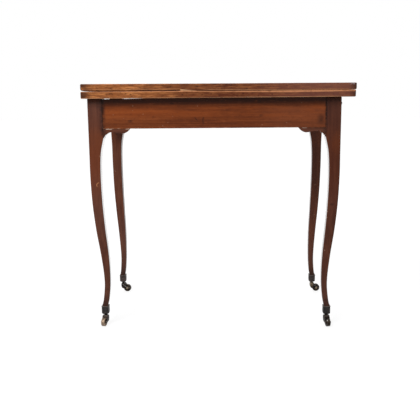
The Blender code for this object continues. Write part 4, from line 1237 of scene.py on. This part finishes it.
def setScrew(name, kind, turn, node, direction, spot, slot="iron"):
    # a head of one kind, turned from z to a direction and moved to its spot
    piece = makeScrewHead(*fixingForm[kind], turn)
    piece.data.transform(aimed(direction, spot))
    called(piece, name)
    smoothBy(piece, 35)
    dressed(piece, node, metalOf(slot))


def makeHingeScrews():
    count = 0
    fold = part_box("upper_leaf")[0].z
    for word, side in (("left", -1), ("right", 1)):
        for half in ("lower", "upper"):
            node = f"hinge_{half}_{word}"
            low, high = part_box(node)
            face = (low.x if side < 0 else high.x) - side * 0.0004
            z = ((low.z if half == "lower" else high.z) + fold) / 2
            for share in fixingForm["hingeShares"]:
                count += 1
                spot = (face, low.y + fixingForm["hingeRun"] * share, z)
                setScrew(f"hingeScrew{count}", "hingeHead", 0.6 * count, node, (side, 0, 0), spot,
                        "brass")


def makeCupScrews():
    # a screw through two sides of each castor's socket
    for word in castorForm["angles"]:
        node = f"castor_cup_{word}"
        low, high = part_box(node)
        middle = Vector(((low.x + high.x) / 2, (low.y + high.y) / 2, fixingForm["cupScrewHigh"]))
        side = -1 if word.endswith("left") else 1
        face = -1 if word.startswith("front") else 1
        for k, direction in enumerate(((-side, 0, 0), (0, -face, 0))):
            spot = middle + Vector(direction) * (castorForm["cupHalf"] - 0.0003)
            setScrew(f"cupScrew{'ab'[k]}{titled(word)}", "cupHead", 0.9 + k, node, direction, spot)


def makeFlyScrews():
    # four screws hold the fixed part of the fly rail
    low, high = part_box("fixed_fly_rail")
    for k, (share, z) in enumerate(fixingForm["flySpots"]):
        spot = (low.x + (high.x - low.x) * share, high.y - 0.0006, z)
        setScrew(f"flyScrew{k + 1}", "flyHead", 0.7 * k, "fixed_fly_rail", (0, 1, 0), spot)


def makePegs():
    # draw pegs through the side rails' tenons; the upper right one stands proud
    form = fixingForm
    finish = woodFinish("pegWood", legLook, 0, 7.2)
    for word, side in (("left", -1), ("right", 1)):
        low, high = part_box(f"leg_front_{word}")
        face = low.x + 0.0002 if side < 0 else high.x - 0.0002
        for k, z in enumerate(form["pegHeights"]):
            rise = form["proudRise"] if side > 0 and k == 0 else form["pegRise"]
            peg = addDisc("peg", form["peg"], form["pegLong"], 20)
            soften(peg, form["pegArris"], 2, 40)
            spot = Vector((face - side * (form["pegLong"] - rise), form["pegDepth"], z))
            peg.data.transform(aimed((side, 0, 0), spot))
            wavering(peg, 0.0002, 200)
            called(peg, f"drawPeg{word.title()}{k + 1}")
            smoothBy(peg, 40)
            dressed(peg, f"leg_front_{word}", finish)


def makeSmallFixings():
    makeHingeScrews()
    makeCupScrews()
    makeFlyScrews()
    makePegs()
    print("fixings made")


# floor, light and camera

stageLook = {"floorSize": 30, "floorColour": 0.3, "floorShade": 0.24, "floorGlow": (0.84, 0.99),
        "glowReach": (0.7, 2.4), "sky": 0.15}


def makeStage():
    allOff()
    bpy.ops.mesh.primitive_plane_add(size=stageLook["floorSize"], location=(0, 0, 0))
    floor = called(bpy.context.object, "floor")
    fin = Finish("paleFloor")
    plain = fin.node("BsdfDiffuse", {"Color": (stageLook["floorColour"],) * 3})
    faint = fin.node("BsdfDiffuse", {"Color": (stageLook["floorShade"],) * 3})
    away = fin.node("VectorMath", {0: fin.moved()}, {"operation": "LENGTH"}, "Value")
    near, far = stageLook["floorGlow"]
    strength = away.between(*stageLook["glowReach"]) * (far - near) + near
    glow = fin.node("Emission", {"Color": (1, 1, 1), "Strength": strength})
    both = fin.node("AddShader", {0: faint, 1: glow})
    shader = fin.node("MixShader", {0: fin.seen(), 1: plain, 2: both})
    fin.node("OutputMaterial", {"Surface": shader})
    floor.data.materials.append(fin.material)
    world = bpy.data.worlds.new("studio")
    bpy.context.scene.world = world
    world.use_nodes = True
    sky = Finish("sky", world.node_tree)
    soft, bright = [sky.node("Background", {"Color": (1, 1, 1), "Strength": strength})
            for strength in (stageLook["sky"], 1)]
    blend = sky.node("MixShader", {0: sky.seen(), 1: soft, 2: bright})
    sky.node("OutputWorld", {"Surface": blend})


lamps = {
    # where it stands, its size and its power
    "keyLamp": ((-1.3, -2.2, 2.6), 1.8, 72), "fillLamp": ((1.8, -2, 2.5), 1.8, 14),
    "topLamp": ((0.1, 0.5, 3), 2.2, 30), "backLamp": ((-0.3, 2.6, 2), 2, 30),
}


def makeLamps():
    for name, (spot, size, power) in lamps.items():
        allOff()
        bpy.ops.object.light_add(type="AREA", location=spot)
        light = called(bpy.context.object, name)
        light.data.size = size
        light.data.energy = power
        aim = Vector((0, 0, 0.45)) - Vector(spot)
        light.rotation_euler = aim.to_track_quat("-Z", "Y").to_euler()


cameraLook = {"away": 1.8699, "across": 0.0236, "high": 0.7075, "pitch": 0.18, "roll": -0.0086,
        "turn": 0.0263, "focal": 643.6}


def makeCamera():
    allOff()
    bpy.ops.object.camera_add()
    camera = called(bpy.context.object, "photoCamera")
    look = cameraLook
    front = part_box("leg_front_left")[0].y
    place = Matrix.Translation((look["across"], front - look["away"], look["high"]))
    tilt = math.pi / 2 - look["pitch"]
    for angle, axis in ((look["turn"], "Z"), (tilt, "X"), (look["roll"], "Z")):
        place = place @ Matrix.Rotation(angle, 4, axis)
    camera.matrix_world = place
    camera.data.sensor_width = 36
    camera.data.lens = look["focal"] / 420 * 36
    camera.data.clip_end = 100
    bpy.context.scene.camera = camera


makeTop()
makeCloth()
makeLegs()
makeEars()
makeRails()
makeCastors()
makeSmallFixings()
dressMetalNodes()
makeStage()
makeLamps()
makeCamera()
bpy.context.scene.view_settings.view_transform = "Standard"
allOff()
print("scene ready")
